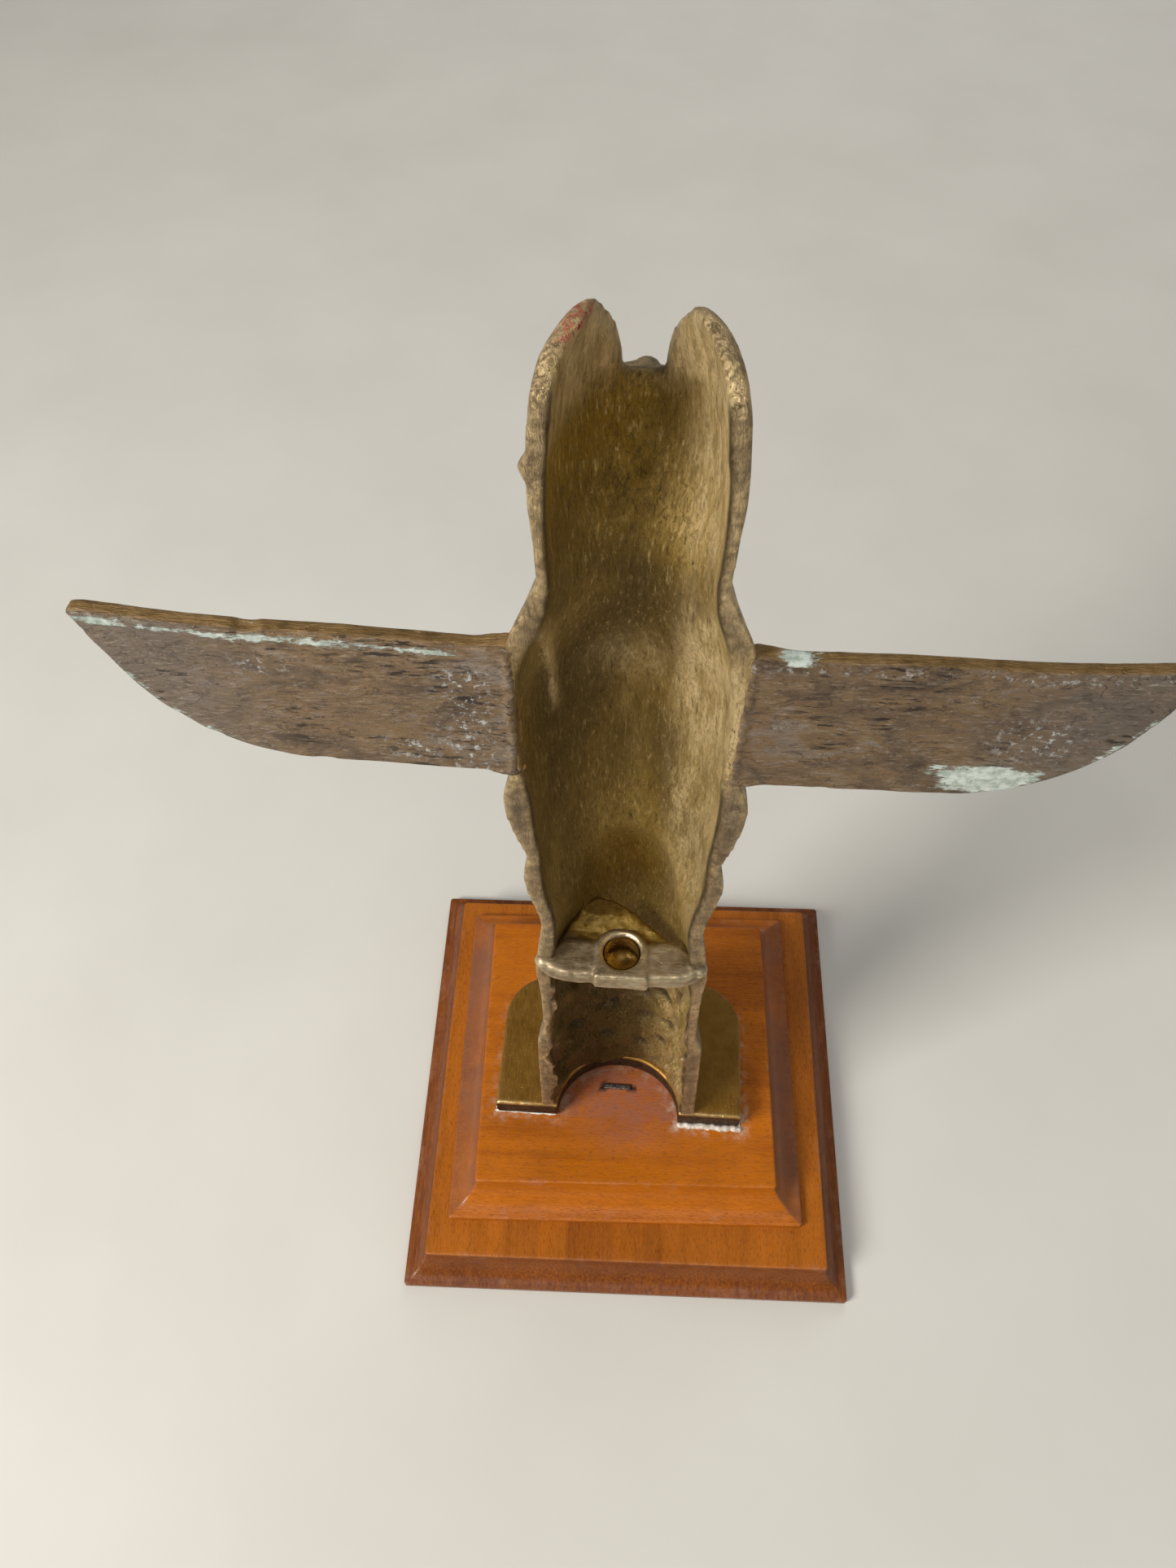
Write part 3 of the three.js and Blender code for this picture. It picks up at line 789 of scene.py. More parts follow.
def carve_lower_body(field):
    both_sides(field, tube, [(11.4, 1.6, 95, 3.4), (11.6, -1.6, 86, 3.3), (9.8, -4.4, 79, 3.0),
                             (6.2, -5.2, 81.5, 3.0)], "add", 0.9)
    pair(field, (5.6, -5.6, 84.0), (3.4, 2.8, 3.9), "add", 0.7)
    for x in (3.5, 5.6, 7.7):
        both_sides(field, tube, [(x, -7.9, 85.6, 0.75), (x * 0.98, -7.6, 89.4, 0.35)], "add", 0.3)
    field.add(blob((0, -1.6, 64), (8.6, 5.6, 14)), 1.4)
    for z in (72, 67.5, 63, 58.5):
        both_sides(field, tube, [(0, -8.0, z, 0.45), (6.2, -5.0, z + 2.2, 0.4)], "cut", 0.5)
    pair(field, (10.2, -2.4, 47), (6.4, 7.2, 13), "add", 1.2)
    for z in (50, 45.5, 41):
        both_sides(field, tube, [(14.0, -7.6, z + 1.8, 0.5), (10.3, -9.6, z, 0.6),
                                 (6.4, -8.0, z + 1.8, 0.5)], "cut", 0.5)
    pair(field, (9.4, -5.6, 30.5), (6.2, 8.0, 7.5), "add", 1.2)
    for x in (5.9, 9.4, 12.9):
        both_sides(field, tube, [(x, -9.5, 28.6, 2.1), (x * 1.02, -13.4, 27.0, 1.9)], "add", 0.4)
        both_sides(field, tube, [(x * 1.02, -14.6, 27.2, 0.9), (x * 1.02, -16.6, 25.8, 0.5)], "add", 0.3)


# y and the height where the ears are cut off
CROWN = ((-30, 210.5), (-4, 210.5), (-2, 214), (0, 218.6), (2, 221.2), (5, 224.0), (8.5, 225.2),
         (12.5, 223.2), (16, 219.8), (30, 217.5))
EAR_GAP = ((205, 2.3), (213, 2.35), (217, 2.6), (220, 3.0), (223, 3.5), (229, 5))  # height, half width
CASTING_STEP = 0.61  # mm, as fine as the export takes without thinning out the mesh


def hollow_distance(x, y, z):
    """Distance to the hollow back, with its shallow oval pocket above the lug."""
    _, _, width, depth = section(z)
    trough = half_ellipse(x - hollow_middle(z), y, width, depth, shoulder_taper(z))
    pocket = blob((-0.9, 5.2, 109), (7.8, 6.2, 17)).distance(x, y, z)
    return smooth_min(trough, pocket, 1.6)


def seam(x, z):
    """Share of the casting seam that runs up the left wall of the chest's hollow."""
    return hump((x - 10.4) / 0.7) * between(z, 157, 162, 183, 188)


def casting_field():
    """The hollow pole with its carving, ears and flat back."""
    field = Field((-20, -21.5, CASTING_LOW - 2), (20, 18.6, CASTING_HIGH + 1.5), CASTING_STEP)
    x, y, z = field.grid
    lean = lean_at(z).astype(np.float32)
    width, depth, _, _ = section(z)
    outside = half_ellipse(x - lean, y, width, depth, shoulder_taper(z))
    angle = np.arctan2((x - lean) / width, np.maximum(REAR - y, 0.01) / depth)
    chest = between(z, 156, 159, 184, 187) * falling(y, -1, 3)
    outside = outside - chest * feathers(angle * 17, 187 - z, 5.6, 5.2, 0.95)
    field.value = outside.astype(np.float32)

    carve_bird_head(field)
    carve_bird_body(field)
    carve_lower_head(field)
    carve_lower_body(field)

    hollow = hollow_distance(x, y, z)
    lumpy_neck = hump((z - 199.5) / 4.5, (x - 0.6) / 5)
    lumpy_legs = falling(z, 80, 100)
    coarse = 0.07 + 0.75 * lumpy_legs + 0.15 * lumpy_neck
    fine = 0.04 + 0.18 * lumpy_legs + 0.36 * lumpy_neck
    hollow = hollow + coarse * field.noise(3.8, 3) + fine * field.noise(1.2, 4, (1, 1, 1.7))
    hollow = hollow + 0.9 * seam(x, z)
    field.value = smooth_max(field.value + 0.05 * field.noise(2.4, 7), -hollow, 0.55)

    field.add(blob((10.9, REAR - 1.0, 210.6), (0.9, 1.0, 1.3)), 0.8)
    field.add(tube([(-0.5, 3.4, 198, 0.6), (2.5, 5.0, 193.5, 0.9), (5.6, 6.8, 188.5, 0.6)]), 1.4)

    crown = np.interp(y, *np.array(CROWN).T)
    field.value = smooth_max(field.value, (z - crown - 0.8 * smoothstep(x, -2, 2) + 0.8) * 0.7, 1.2)
    field.value = np.maximum(field.value, z - CASTING_HIGH)
    gap = np.interp(z, *np.array(EAR_GAP).T)
    notch = np.minimum(gap - np.abs(x - lean), z - 212 + 0.5 * np.clip(-y, 0, 3))
    field.value = smooth_max(field.value, notch, np.interp(z, [214, 221], [0.9, 3.0]))
    flatness = 0.06 * field.noise(6, 5) + 0.03 * field.noise(2, 6)
    field.value = smooth_max(field.value, y - REAR + flatness, 0.6)
    field.value = smooth_max(field.value, CASTING_LOW - z, 0.3).astype(np.float32)
    return field


def casting_marks(field, points):
    """Shares of the hollow's skin, the flat rear rim, the painted shade along the crease between them,
    their films and wear, and painted light and shade on the hollow's walls.
    """
    x, y, z = points.T
    hollow = hollow_distance(x, y, z)
    legs = falling(z, 84, 92)
    chest = between(z, 152, 160, 180, 190)
    rim = smoothstep(y, REAR - 0.9, REAR - 0.35) * (1 - 0.85 * chest)
    inside = np.maximum(smoothstep(-hollow, -1.3, -0.1), chest * (y > REAR - 1)) * (1 - rim)
    # painted shade along the crease where the hollow's wall turns into the flat rim
    crease = hump((hollow - 0.1) / 0.35) * smoothstep(y, REAR - 1.6, REAR - 0.5) * (1 - chest)
    # painted highlights on the wall facing the light, the lit patch below the neck and the ear hollows;
    # real scour on the seam and the legs
    painted_lit_wall = falling(x, -9, -4) * smoothstep(z, 90, 125) * (0.65 + 0.35 * smoothstep(z, 150, 165))
    painted_light_and_scour = largest(painted_lit_wall * (1 - 0.6 * hump((z - 190) / 6)),
                      0.9 * smoothstep(z, 209, 216),
                      0.7 * hump((z - 167) / 5, x / 5.5),
                      0.8 * seam(x, z),
                      0.5 * legs * falling(x, -8, 4))
    # painted shade: the wall turned away from the light, the band under the neck ridge, the lower chest
    # and the shaded legs
    dull = largest(0.75 * smoothstep(x, 2, 10) * falling(z, 196, 210) * (1 - seam(x, z)),
                   0.55 * hump((z - 183) / 6, x / 8),
                   0.5 * hump((z - 147) / 9, (x - 1) / 7),
                   1.45 * legs) * smoothstep(x, -12, -3)
    paint = hump((x - 5.4) / 2.2, (z - 223.8) / 0.9) * smoothstep(y, 5, 9)
    olive = largest(hump((z - 208) / 9) * smoothstep(x, -5, 1),
                    hump((z - 112) / 15, (x + 0.8) / 8),
                    0.8 * falling(z, 75, 90))
    return {"inside": inside, "rim": rim, "crease": crease, "paint": paint, "olive": olive,
            "painted_light_and_scour": painted_light_and_scour, "dull": dull}


# ---------------- outlines in a plane
def curve(*points):
    """A Catmull-Rom curve through the points, without the last one."""
    steps = 8
    points = [np.array(p, float) for p in points]
    points = [2 * points[0] - points[1], *points, 2 * points[-1] - points[-2]]
    out = []
    for a, b, c, d in zip(points, points[1:], points[2:], points[3:]):
        for t in np.arange(steps) / steps:
            out.append(0.5 * (2 * b + (c - a) * t + (2 * a - 5 * b + 4 * c - d) * t * t
                              + (3 * b - a - 3 * c + d) * t ** 3))
    return out


def outline_distance(outline, u, v):
    """Signed distance from places (u, v) to a closed outline, negative inside."""
    outline = np.array(outline, float)
    u, v = np.broadcast_arrays(u, v)
    nearest = np.full(u.shape, 1e9)
    inside = np.zeros(u.shape, bool)
    for (au, av), (bu, bv) in zip(outline, np.roll(outline, -1, axis=0)):
        length2 = max((bu - au) ** 2 + (bv - av) ** 2, 1e-9)
        t = np.clip(((u - au) * (bu - au) + (v - av) * (bv - av)) / length2, 0, 1)
        nearest = np.minimum(nearest, (u - au - t * (bu - au)) ** 2 + (v - av - t * (bv - av)) ** 2)
        crosses = ((av > v) != (bv > v)) & (u < (bu - au) * (v - av) / (bv - av + 1e-12) + au)
        inside ^= crosses
    return np.where(inside, -1, 1) * np.sqrt(nearest)


def plan_distance(field, outline):
    """Signed distance, at each place of a field, to an upright wall round an outline in x and y."""
    x, y, _ = field.grid
    return outline_distance(outline, x[:, :, 0], y[:, :, 0])[:, :, None]


# ---------------- wings
WING_ROOT, WING_TIP, WING_THICK = 15.3, 68.6, 2.8
WING_PIVOT_HEIGHT, WING_TURN = 170, -1.4
WING_ROOT_LOW, WING_ROOT_HIGH = 157.7, 182.9
WING_STEP = 0.25
WING_LOWER = ((WING_ROOT, 157.6), (40, 158.1), (49, 159.3), (56.5, 163.3), (62.5, 170), (66, 178),
              (WING_TIP, 185.2))
WING_UPPER = ((67, 185.4), (52, 184), (34, 183.8), (WING_ROOT, 183))


def wing_outline():
    return [*curve(*WING_LOWER), WING_LOWER[-1], *curve(*WING_UPPER), WING_UPPER[-1]]


def wing_field(side):
    """The wing in its own frame, with x counted from the middle of the totem outwards."""
    field = Field((WING_ROOT - 2.2, REAR - WING_THICK - 1.6, 155.5), (WING_TIP + 1, REAR + 1.2, 187),
                  WING_STEP)
    x, y, z = field.grid
    edge = outline_distance(wing_outline(), x[:, :, 0], z[0, :, :])[:, None, :].astype(np.float32)
    root = largest(WING_ROOT_LOW - z, z - WING_ROOT_HIGH, WING_ROOT - 0.9 - x)
    edge = np.where(x < WING_ROOT, root, edge)
    edge = edge + 0.05 * field.noise(6, 20 + side) + 0.025 * field.noise(2, 22 + side)
    pits = 0.16 * np.clip(field.noise(1.4, 24 + side, (2, 1, 1)) - 0.9, 0, 2)
    back = y - REAR + 0.06 * field.noise(2.6, 26 + side, (2, 1, 1)) + pits + 0.1
    border = smoothstep(edge, -1.6, -0.6)
    rows = feathers(z - 157.4, x - WING_ROOT - 1, 6.4, 10.4, 0.9) * (1 - border) + 0.75 * border
    front = REAR - WING_THICK + 0.9 - y - rows
    field.value = smooth_max(smooth_max(edge, back, 0.45), front, 0.9).astype(np.float32)
    add_braze(field, side)
    if side > 0:
        nick = blob((47, REAR - 1.2, 184.2), (1.7, 3, 0.8))
        field.cut(nick, 0.5)
    return field


def add_braze(field, side):
    """Lumpy metal run along the joint between the wing's root and the casting."""
    rng = np.random.default_rng(40 + side)
    for z in np.arange(157.6, 182.4, 0.8):
        bulge = rng.uniform(0.35, 0.62)
        x = WING_ROOT - 0.2 + rng.uniform(-0.25, 0.3)
        field.add(blob((x, REAR - 0.25, z), (bulge, bulge * 0.8, rng.uniform(0.4, 0.9))), 0.35)
        field.add(blob((x, REAR - WING_THICK + 0.2, z), (0.9, 0.7, 0.9)), 0.5)
    for x in np.arange(WING_ROOT - 0.8, WING_ROOT + 2, 0.7):
        lift = rng.uniform(0.3, 0.5) * (1 - (x - WING_ROOT) / 3)
        field.add(blob((x, REAR - 1.4, 182.8), (1.0, 1.1, lift)), 0.7)
        field.add(blob((x, REAR - 1.2, 157.8), (1.0, 1.0, lift)), 0.7)


def wing_marks(points, side):
    """Where the back is corroded and where verdigris and white salts have bloomed."""
    x, y, z = points.T
    back = smoothstep(y, REAR - 0.8, REAR - 0.25)
    edge = outline_distance(wing_outline(), x, z)
    below_top = np.interp(x, *np.array(WING_UPPER[::-1]).T) - z
    lower_edge = hump((edge + 0.6) / 0.7) * smoothstep(x, 42, 52) * smoothstep(below_top, 4, 9)
    if side > 0:
        strip = hump((below_top - 1.3) / 0.9) * smoothstep(x, 17, 24)
        bloom = largest(strip * (0.72 - 0.12 * smoothstep(x, 44, 62)), 0.55 * lower_edge)
        salts = largest(0.9 * hump((x - 20.5) / 3.4) * smoothstep(below_top, 2, 6),
                        0.8 * hump((x - 46) / 3, (z - 178) / 2),
                        0.8 * hump((x - 29) / 4, (z - 162) / 2.2))
    else:
        patch = hump((x - 48) / 8, ((z - 162.2) / 3) ** 2)
        dab = hump((x - 20) / 2.4) * falling(below_top, 0.2, 1.0)
        bloom = largest(1.1 * patch, dab, 0.5 * lower_edge)
        salts = largest(0.9 * hump((x - 52) / 5, (z - 171) / 4), 0.5 * hump((below_top - 1.2) / 0.8))
    return {"back": back, "verdigris": np.clip(bloom, 0, 1), "salts": np.clip(salts * back, 0, 1),
            "grey": smoothstep(x, 42, 60)}


def make_wing(name, side, material):
    """A wing on side 1 or -1, tipped about the middle of its root."""
    field = wing_field(side)
    points, faces = field.mesh()
    marks = edge_marks(field, points, 0.6)
    marks.update(wing_marks(points, side))
    if side < 0:
        points, faces = other_side(points, faces)
    pivot = Vector((side * WING_ROOT, 0, WING_PIVOT_HEIGHT))
    turn = Matrix.Rotation(math.radians(WING_TURN), 4, "Y")
    place = TOTEM_PLACE @ Matrix.Translation(pivot) @ turn @ Matrix.Translation(-pivot)
    return new_piece(f"{name}_corroded", points, faces, material, [name], place, marks)


# ---------------- mounting lug
LUG_PLATE, LUG_BOSS, LUG_COLLAR, LUG_REAR, LUG_HALF_WIDTH = 3.9, 5.6, 4.7, 19.0, 14.9
LUG_HOLE_RADIUS, LUG_HOLE_Y, LUG_HOLE_FLOOR, THREAD_PITCH = 3.25, 13.8, 95.9, 1.41
LUG_STEP = 0.25


def ledge_outline():
    """The shelf seen from above: a straight front inside the pole, a bulging edge behind it."""
    bulge = [(LUG_HALF_WIDTH - 0.6, REAR + 0.9), (11.4, REAR + 2.2), (7.4, LUG_REAR - 0.35),
             (0, LUG_REAR - 0.2)]
    return [(LUG_HALF_WIDTH, REAR - 0.1), *curve(*bulge), *curve(*mirrored(bulge[::-1])),
            (-LUG_HALF_WIDTH, REAR - 0.1), (-10.6, REAR - 4.4), (10.6, REAR - 4.4)]


def lug_field():
    """The ledge, the rough web between it and the pole's front wall, and the boss with its hole."""
    field = Field((-16, 1, LUG_TOP - LUG_BOSS - 0.8), (16, LUG_REAR + 0.8, LUG_TOP + 0.6), LUG_STEP)
    x, y, z = field.grid
    web = [(10.6, REAR + 0.5),
           *curve((11.4, 13.5), (10.2, 8.8), (7.8, 5.0), (5.0, 3.3), (2.0, 3.5), (-1.6, 5.2),
                  (-5.2, 7.9), (-8.4, 10.6), (-10.2, 13.2)),
           (-10.6, REAR + 0.5)]
    rough = 0.12 * field.noise(2.4, 31) + 0.06 * field.noise(1, 32)
    flat = plan_distance(field, ledge_outline())
    dish = 0.45 - 0.35 * np.clip((np.abs(x) - 5) / 8, 0, 1) ** 2
    half = LUG_PLATE / 2
    slab = smooth_max(flat, np.abs(z - (LUG_TOP - dish) + half) - half, 1.1)
    rise = 0.42 * np.maximum(LUG_HOLE_Y - 4.2 - y, 0) * (0.5 + 0.5 * smoothstep(x, -5, 4))
    back = plan_distance(field, web)
    web_slab = smooth_max(back, np.abs(z - (LUG_TOP - 1.2 + rise) + half) - half, 1.2)
    web_slab = web_slab + 0.16 * field.noise(1.9, 33) + 0.07 * field.noise(0.8, 34)
    from_axis = np.sqrt(x * x + (y - LUG_HOLE_Y) ** 2)
    collar = np.where(y < LUG_HOLE_Y, from_axis - LUG_COLLAR,
                      np.maximum(np.abs(x) - LUG_COLLAR, y - LUG_REAR - 0.1))
    boss_floor = LUG_TOP - np.interp(y, [16.0, 17.5], [LUG_BOSS, LUG_PLATE + 0.7])
    boss = smooth_max(collar, np.maximum(z - LUG_TOP, boss_floor - z), 0.7)
    body = smooth_min(smooth_min(slab, web_slab, 1.2), boss, 0.5) + rough * 0.6
    bore = np.maximum(from_axis - LUG_HOLE_RADIUS - 0.1, LUG_HOLE_FLOOR - z)
    lead_in = from_axis - LUG_HOLE_RADIUS - np.clip(z - LUG_TOP + 0.6, 0, 1)
    body = smooth_max(body, -np.minimum(bore, np.maximum(lead_in, LUG_TOP - 0.8 - z)), 0.2)
    body = np.maximum(body, z - LUG_TOP)
    field.value = body.astype(np.float32)
    for side in (-1, 1):
        rng = np.random.default_rng(50 + side)
        for _ in range(7):  # lumps of braze at each end of the ledge
            x0, y0 = side * rng.uniform(12.2, 14.6), rng.uniform(REAR - 1.4, REAR + 0.6)
            field.add(blob((x0, y0, LUG_TOP - rng.uniform(0.7, 1.6)), rng.uniform(0.5, 1.1, 3)), 0.8)
    return field


def make_thread(material):
    """The tapped wall of the hole: one helical groove, open at the top and closed by a cone below."""
    around, along = 72, 64
    points = []
    heights = np.linspace(LUG_TOP - 0.55, LUG_HOLE_FLOOR + 0.1, along)
    for z in heights:
        for i in range(around):
            share = i / around
            wave = abs(((z / THREAD_PITCH - share) % 1) - 0.5) * 2
            radius = LUG_HOLE_RADIUS - 0.26 * (1 - wave) ** 0.8
            angle = share * 2 * math.pi
            points.append((radius * math.cos(angle), LUG_HOLE_Y + radius * math.sin(angle), z))
    faces = ring_faces(along, around)
    points.append((0, LUG_HOLE_Y, LUG_HOLE_FLOOR + 0.05))
    last = (along - 1) * around
    faces += [(last + i, last + (i + 1) % around, len(points) - 1) for i in range(around)]
    deep = falling(np.array(points)[:, 2], LUG_HOLE_FLOOR + 0.2, LUG_HOLE_FLOOR + 1.6)
    return new_piece("mounting_lug_thread", points, faces, material, marks={"deep": deep})


def lug_marks(field, points):
    """The rough web lies in front of the collar and the ledge."""
    x, y, _ = points.T
    beyond_collar = smoothstep(np.hypot(x, y - LUG_HOLE_Y), LUG_COLLAR, LUG_COLLAR + 0.6)
    web = falling(y + 0.32 * np.abs(x), 12.8, 14.6) * beyond_collar * (y < LUG_HOLE_Y + 1)
    return {"web": web}


# ---------------- foot plate and glue
FOOT_HALF_WIDTH, FOOT_FRONT, FOOT_CORNER = 28.2, -17.0, 11.0
ARCH_HALF_WIDTH, ARCH_DEPTH = 14.0, 13.0
PLATE_STEP, GLUE_STEP = 0.35, 0.16
GLUE_THICK = 0.22


def foot_outline():
    """A plate with two round front corners and a half-round cut in its back."""
    w, f, r = FOOT_HALF_WIDTH, FOOT_FRONT, FOOT_CORNER
    arch = np.linspace(0, math.pi, 25)
    corner = np.linspace(0, math.pi / 2, 9)
    outline = [(ARCH_HALF_WIDTH * math.cos(a), REAR - ARCH_DEPTH * math.sin(a)) for a in arch]
    outline.append((-w, REAR))
    outline += [(-w + r - r * math.cos(a), f + r - r * math.sin(a)) for a in corner]
    outline += [(w - r + r * math.sin(a), f + r - r * math.cos(a)) for a in corner]
    outline.append((w, REAR))
    return outline


def plate_field():
    field = Field((-FOOT_HALF_WIDTH - 1, FOOT_FRONT - 1, PLATE_LOW - 1),
                  (FOOT_HALF_WIDTH + 1, REAR + 1, PLATE_HIGH + 1), PLATE_STEP)
    z = field.grid[2]
    plan = plan_distance(field, foot_outline())
    middle, half = (PLATE_LOW + PLATE_HIGH) / 2, (PLATE_HIGH - PLATE_LOW) / 2
    value = smooth_max(plan, np.abs(z - middle) - half, 0.7)
    value = value + 0.03 * field.noise(3, 61) + 0.02 * field.noise(1, 62)
    field.value = np.maximum(value, PLATE_LOW - z).astype(np.float32)
    return field


def plate_marks(field, points):
    """The sides are dark, and only the rear edge is rubbed bright."""
    _, y, z = points.T
    worn = edge_marks(field, points, 0.7)["worn"] * (0.15 + 0.85 * smoothstep(y, REAR - 1.2, REAR - 0.6))
    return {"side": smoothstep(PLATE_HIGH - z, 0.35, 0.9), "worn": worn}


def glue_field(side):
    """A thin bed under one side of the plate, with a lumpy bead squeezed out behind it."""
    low, _ = box_mm("glue_bed_left" if side > 0 else "glue_bed_right")
    field = Field((ARCH_HALF_WIDTH - 1, -9, low[2] - 0.4),
                  (FOOT_HALF_WIDTH + 2, REAR + 2.6, low[2] + 2.2), GLUE_STEP)
    z = field.grid[2]
    spill, size = (0.7, 0.7) if side < 0 else (-0.6, 0.25)  # how far out, and the bead's radius
    bed = curve((14.5, REAR + spill), (18, REAR + spill), (23, REAR - 0.2 + spill), (28.2, REAR + spill),
                (28.4 + spill / 2, 12.2), (27.8, 4), (26.2, -6), (19, -7), (16, 2), (14.5, REAR + spill))
    plan = plan_distance(field, bed) + 0.25 * field.noise(1.6, 70 + side)
    top = low[2] + GLUE_THICK + 0.06 * field.noise(1.2, 72 + side)
    field.value = smooth_max(smooth_max(plan, z - top, 0.3), low[2] - z, 0.1).astype(np.float32)
    rng = np.random.default_rng(74 + side)
    for x0 in np.arange(ARCH_HALF_WIDTH + 0.5, FOOT_HALF_WIDTH + 0.4, 0.55):
        bead = size * rng.uniform(0.5, 1.15)
        y0 = REAR + spill * 0.7 + rng.uniform(-0.15, 0.25)
        field.add(blob((x0, y0, low[2] + 0.25), (0.7, bead, bead)), 0.4)
    field.value = np.maximum(field.value, low[2] - z).astype(np.float32)
    return field


def make_glue(name, side, material):
    points, faces = glue_field(side).mesh()
    if side < 0:
        points, faces = other_side(points, faces)
    return new_piece(f"{name}_dried", points, faces, material, [name])


# ---------------- wooden boards, staple and felt
def ring_points(half_x, half_y, corner, z):
    """Places round a rectangle with small round corners, the same number for every ring."""
    per_side = 48
    corner = min(corner, half_x * 0.9, half_y * 0.9)
    out = []
    for turn in range(4):
        half_u, half_v = (half_x, half_y) if turn % 2 == 0 else (half_y, half_x)
        cos, sin = (1, 0, -1, 0)[turn], (0, 1, 0, -1)[turn]
        for t in np.linspace(-1, 1, per_side, endpoint=False):
            u, v = t * (half_u - corner), -half_v
            out.append((u * cos - v * sin, u * sin + v * cos, z))
        for a in np.linspace(0, math.pi / 2, 5)[:-1]:
            u, v = half_u - corner + corner * math.sin(a), -half_v + corner - corner * math.cos(a)
            out.append((u * cos - v * sin, u * sin + v * cos, z))
    return np.array(out)


def board_profile(bottom, top, edge, inset, middle):
    """Places (depth inwards, height) from the middle of the underside round to the middle of the top."""
    profile = [(share * middle, bottom) for share in (0.98, 0.7, 0.4, 0.15, 0.03)]
    profile += [(0.3, bottom), (0.08, bottom + 0.08), (0, bottom + 0.3), (0, bottom + edge - 0.35),
                (0.06, bottom + edge - 0.12), (0.2, bottom + edge - 0.02)]
    for t in np.linspace(0.08, 1, 18)[:-1] * math.pi / 2:
        profile.append((inset * math.sin(t), top - (top - bottom - edge) * math.cos(t)))
    profile += [(inset + 0.02, top - 0.4), (inset + 0.1, top - 0.14), (inset + 0.28, top - 0.03),
                (inset + 0.5, top)]
    return profile + [(depth, top) for depth in np.linspace(inset + 1.2, middle * 0.985, 26)]


def moulded_board(node, size, edge, inset, place, material, darkened, dulled, extra=None):
    """A board with a square foot of height edge and a cove cut round its top, all edges eased.

    The sloping cove is darkened all round, and given a painted purple-grey sheen on the two sides across
    x.
    """
    low, high = box_mm(node)
    profile = board_profile(low[2], high[2], edge, inset, min(size) / 2)
    rings = [ring_points(size[0] / 2 - depth, size[1] / 2 - depth, 0.7, z) for depth, z in profile]
    points, faces = stacked(rings)
    depth = np.repeat([d for d, _ in profile], len(rings[0]))
    height = points[:, 2]
    slope = smoothstep(high[2] - height, 0.05, 0.5)
    edge_mark = hump((depth - inset - 0.2) / 0.5) + hump((height - low[2] - edge) / 0.5)
    flank = np.abs(points[:, 0]) / size[0] > np.abs(points[:, 1]) / size[1]
    # flank carries the painted sheen on the sides across x
    marks = {"slope": slope * darkened, "edge": np.clip(edge_mark, 0, 1),
             "flank": slope * flank * dulled}
    if extra:
        marks.update(extra(points, place))
    return new_piece(f"{node}_moulded", points, faces, material, [node], place, marks, crease=35)


STAPLE_X, STAPLE_Y = 0.4, 8.2  # in the totem's frame
STAPLE_CROWN, STAPLE_WIRE, STAPLE_THICK = 6.6, 1.2, 0.6


def upper_board_marks(points, place):
    """A red-brown stain in and behind the arch, pale haze round the foot plate, and painted shade in the
    staple's holes.
    """
    x, y, _ = moved(moved(points, place), TOTEM_PLACE.inverted()).T
    top = smoothstep(points[:, 2], WOOD_TOP - 0.3, WOOD_TOP - 0.05)
    inside_arch = (np.hypot(x / ARCH_HALF_WIDTH, (REAR - y) / ARCH_DEPTH) < 1.05) & (y < REAR)
    behind = hump((x + 2) / 10) * falling(y, 17, 27) * (y >= REAR - 0.5)
    near = outline_distance(foot_outline(), x, y)
    haze = hump((near - 0.8) / 1.3) * smoothstep(y, 6, 15) * (1 - 0.6 * smoothstep(x, -8, 8))
    front_haze = 0.35 * hump((near - 0.6) / 1.2)
    dent = np.hypot(np.abs(x - STAPLE_X) - STAPLE_CROWN / 2, (y - STAPLE_Y) * 1.3)
    return {"stain": top * np.maximum(inside_arch, 0.85 * behind),
            "haze": top * np.maximum(haze, front_haze),
            "dent": top * falling(dent, 0.9, 1.5)}


def staple_field():
    """A flat-wire staple whose crown lies on the wood, in its own frame with z = 0 at the wood."""
    step, bend, height = 0.08, 0.5, 0.35  # height is that of the crown's middle
    field = Field((-4.4, -1.4, -2.2), (4.4, 1.4, 1.4), step)
    x, y, z = field.grid
    reach = STAPLE_CROWN / 2 - STAPLE_THICK / 2
    over = np.maximum(np.abs(x) - reach + bend, 0)
    up = np.maximum(z - height + bend, 0)
    leg = np.abs(np.abs(x) - reach)
    path = np.where(z > height - bend, np.abs(np.sqrt(over ** 2 + up ** 2) - bend), leg)
    path = np.where(np.abs(x) < reach - bend, np.abs(z - height), path)
    wire = smooth_max(path - STAPLE_THICK / 2, np.abs(y) - STAPLE_WIRE / 2, 0.25)
    field.value = wire.astype(np.float32)
    return field


def make_felt(material):
    """A thin square pad with a slightly frayed outline."""
    low, high = box_mm("base_pad")
    rng = np.random.default_rng(90)
    half = (high[0] - low[0]) / 2
    rings = []
    for depth, z in ((0.5, low[2]), (0, low[2] + 0.12), (0, high[2] - 0.12), (0.3, high[2])):
        ring_at = ring_points(half - depth, half - depth, 3.0, z)
        plan = ring_at[:, :2]
        plan += rng.uniform(-0.1, 0, plan.shape) * np.sign(plan)
        rings.append(ring_at)
    points, faces = stacked(rings)
    return new_piece("base_pad_felt", points, faces, material, ["base_pad"], BASE_PLACE,
                     crease=35)


# ---------------- stage and camera
CAMERA_PLACE = Vector((2.21, 109.22, 290.39)) * MM  # from the photograph's perspective
CAMERA_AIM, CAMERA_UP = Vector((0.0338, -0.5702, -0.8208)), Vector((0.0263, -0.8205, 0.5711))
SENSOR_WIDTH, LENS = 36, 27.03
FLOOR_REACH = 3.0
MIDDLE = (0, 0, 0.12)


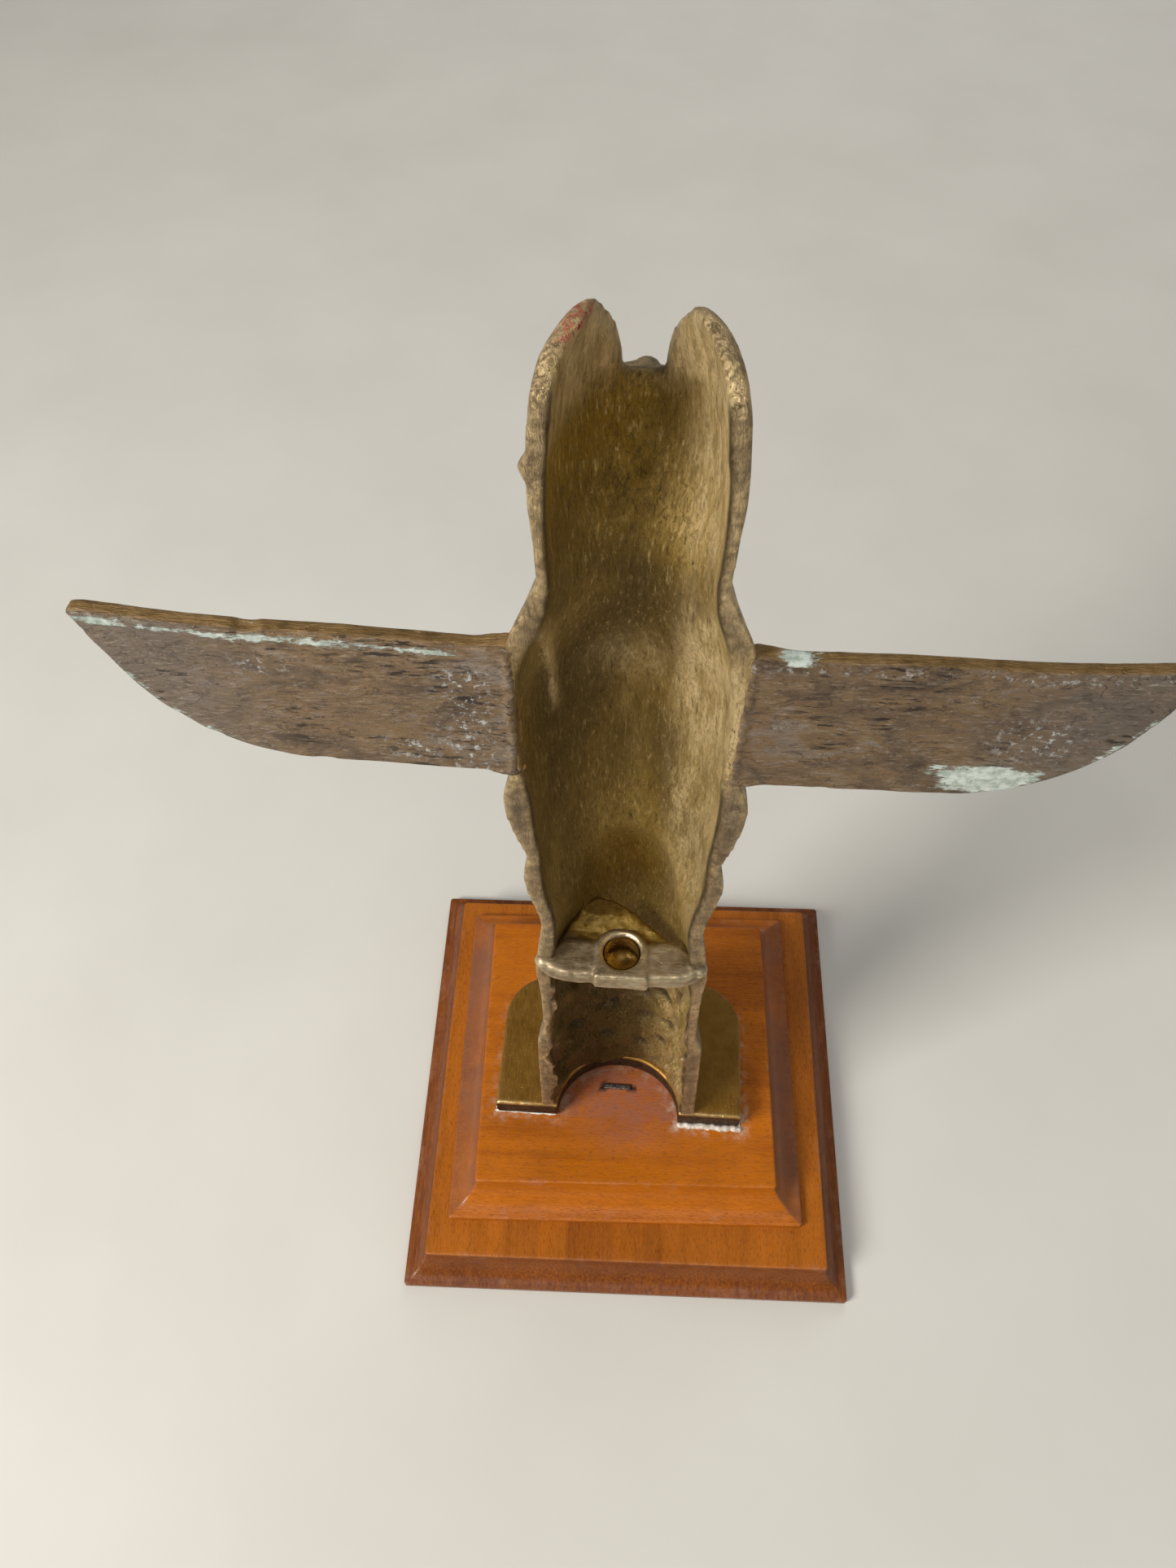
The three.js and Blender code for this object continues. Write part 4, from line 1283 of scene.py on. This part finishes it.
def add_camera():
    data = bpy.data.cameras.new("camera")
    data.sensor_width = SENSOR_WIDTH
    data.lens = LENS
    data.clip_start = 0.005
    camera = add_object("camera", data)
    turn = Matrix((CAMERA_AIM.cross(CAMERA_UP), CAMERA_UP, -CAMERA_AIM)).transposed()
    camera.matrix_world = Matrix.Translation(CAMERA_PLACE) @ turn.to_4x4()
    bpy.context.scene.camera = camera


def add_light(name, place, size, power, colour=(1, 1, 1), glossy=True):
    """A square light, size metres wide, aimed at the middle of the object."""
    data = bpy.data.lights.new(name, "AREA")
    data.size = size
    data.energy = power
    data.color = colour
    light = add_object(name, data)
    light.location = place
    aim = Vector(MIDDLE) - Vector(place)
    light.rotation_euler = aim.to_track_quat("-Z", "Y").to_euler()
    light.visible_glossy = glossy


def add_stage():
    mesh = bpy.data.meshes.new("floor")
    corners = [(x * FLOOR_REACH, y * FLOOR_REACH, 0) for x, y in ((-1, -1), (1, -1), (1, 1), (-1, 1))]
    mesh.from_pydata(corners, [], [(0, 1, 2, 3)])
    floor = add_object("floor", mesh)
    s = Shader("floor")
    tint = s.ramp(s.noise(60, 3), (0.3, (0.66, 0.64, 0.58)), (0.7, (0.7, 0.68, 0.62)))
    mesh.materials.append(s.finish(Base_Color=tint, Roughness=0.7))
    world = bpy.data.worlds.new("studio")
    world.use_nodes = True
    background = world.node_tree.nodes["Background"].inputs
    background["Color"].default_value = (0.98, 0.96, 0.94, 1)
    background["Strength"].default_value = 0.17
    bpy.context.scene.world = world
    add_light("window", (0.68, 0.5, 0.66), 0.36, 11, (1, 0.97, 0.92))
    add_light("ceiling", (0.0, 0.6, 1.1), 0.8, 2.0)
    add_light("fill", (-0.8, 0.5, 0.6), 0.9, 1.0)
    add_light("far", (-0.2, -0.9, 0.7), 0.8, 3, glossy=False)


bpy.context.scene.view_settings.view_transform = "Standard"
add_camera()
add_stage()

sculpted_piece("totem_casting_cast", casting_field(), casting_brass(), ["totem_casting"],
               1.5, casting_marks)
wing_material = wing_brass()
make_wing("wing_left", 1, wing_material)
make_wing("wing_right", -1, wing_material)
sculpted_piece("mounting_lug_rough", lug_field(), lug_brass(), ["mounting_lug"],
               0.6, lug_marks)
make_thread(thread_brass())
sculpted_piece("foot_plate_worn", plate_field(), plate_brass(), ["foot_plate"],
               0.7, plate_marks)

glue = dried_glue()
make_glue("glue_bed_left", 1, glue)
make_glue("glue_bed_right", -1, glue)
staple_place = TOTEM_PLACE @ Matrix.Translation((STAPLE_X, STAPLE_Y, WOOD_TOP + 0.02))
sculpted_piece("board_staple_bent", staple_field(), steel(), ["board_staple"],
               0.3, place=staple_place)
upper_wood = varnished_wood("upper_wood", "x", pale=(0.46, 0.125, 0.002), deep=(0.3, 0.068, 0.001),
                            dark=(0.16, 0.04, 0.01))
lower_wood = varnished_wood("lower_wood", "y", pale=(0.38, 0.11, 0.007), deep=(0.25, 0.065, 0.004),
                            dark=(0.085, 0.016, 0.003))
moulded_board("top_board", size=(81.3, 79), edge=1.6, inset=6.3, place=TOP_BOARD_PLACE,
              material=upper_wood, darkened=0.2, dulled=0.8,
              extra=upper_board_marks)
moulded_board("base_board", size=(101.6, 101.6), edge=1.8, inset=5.1, place=BASE_PLACE,
              material=lower_wood, darkened=0.9, dulled=0.2)
make_felt(felt())
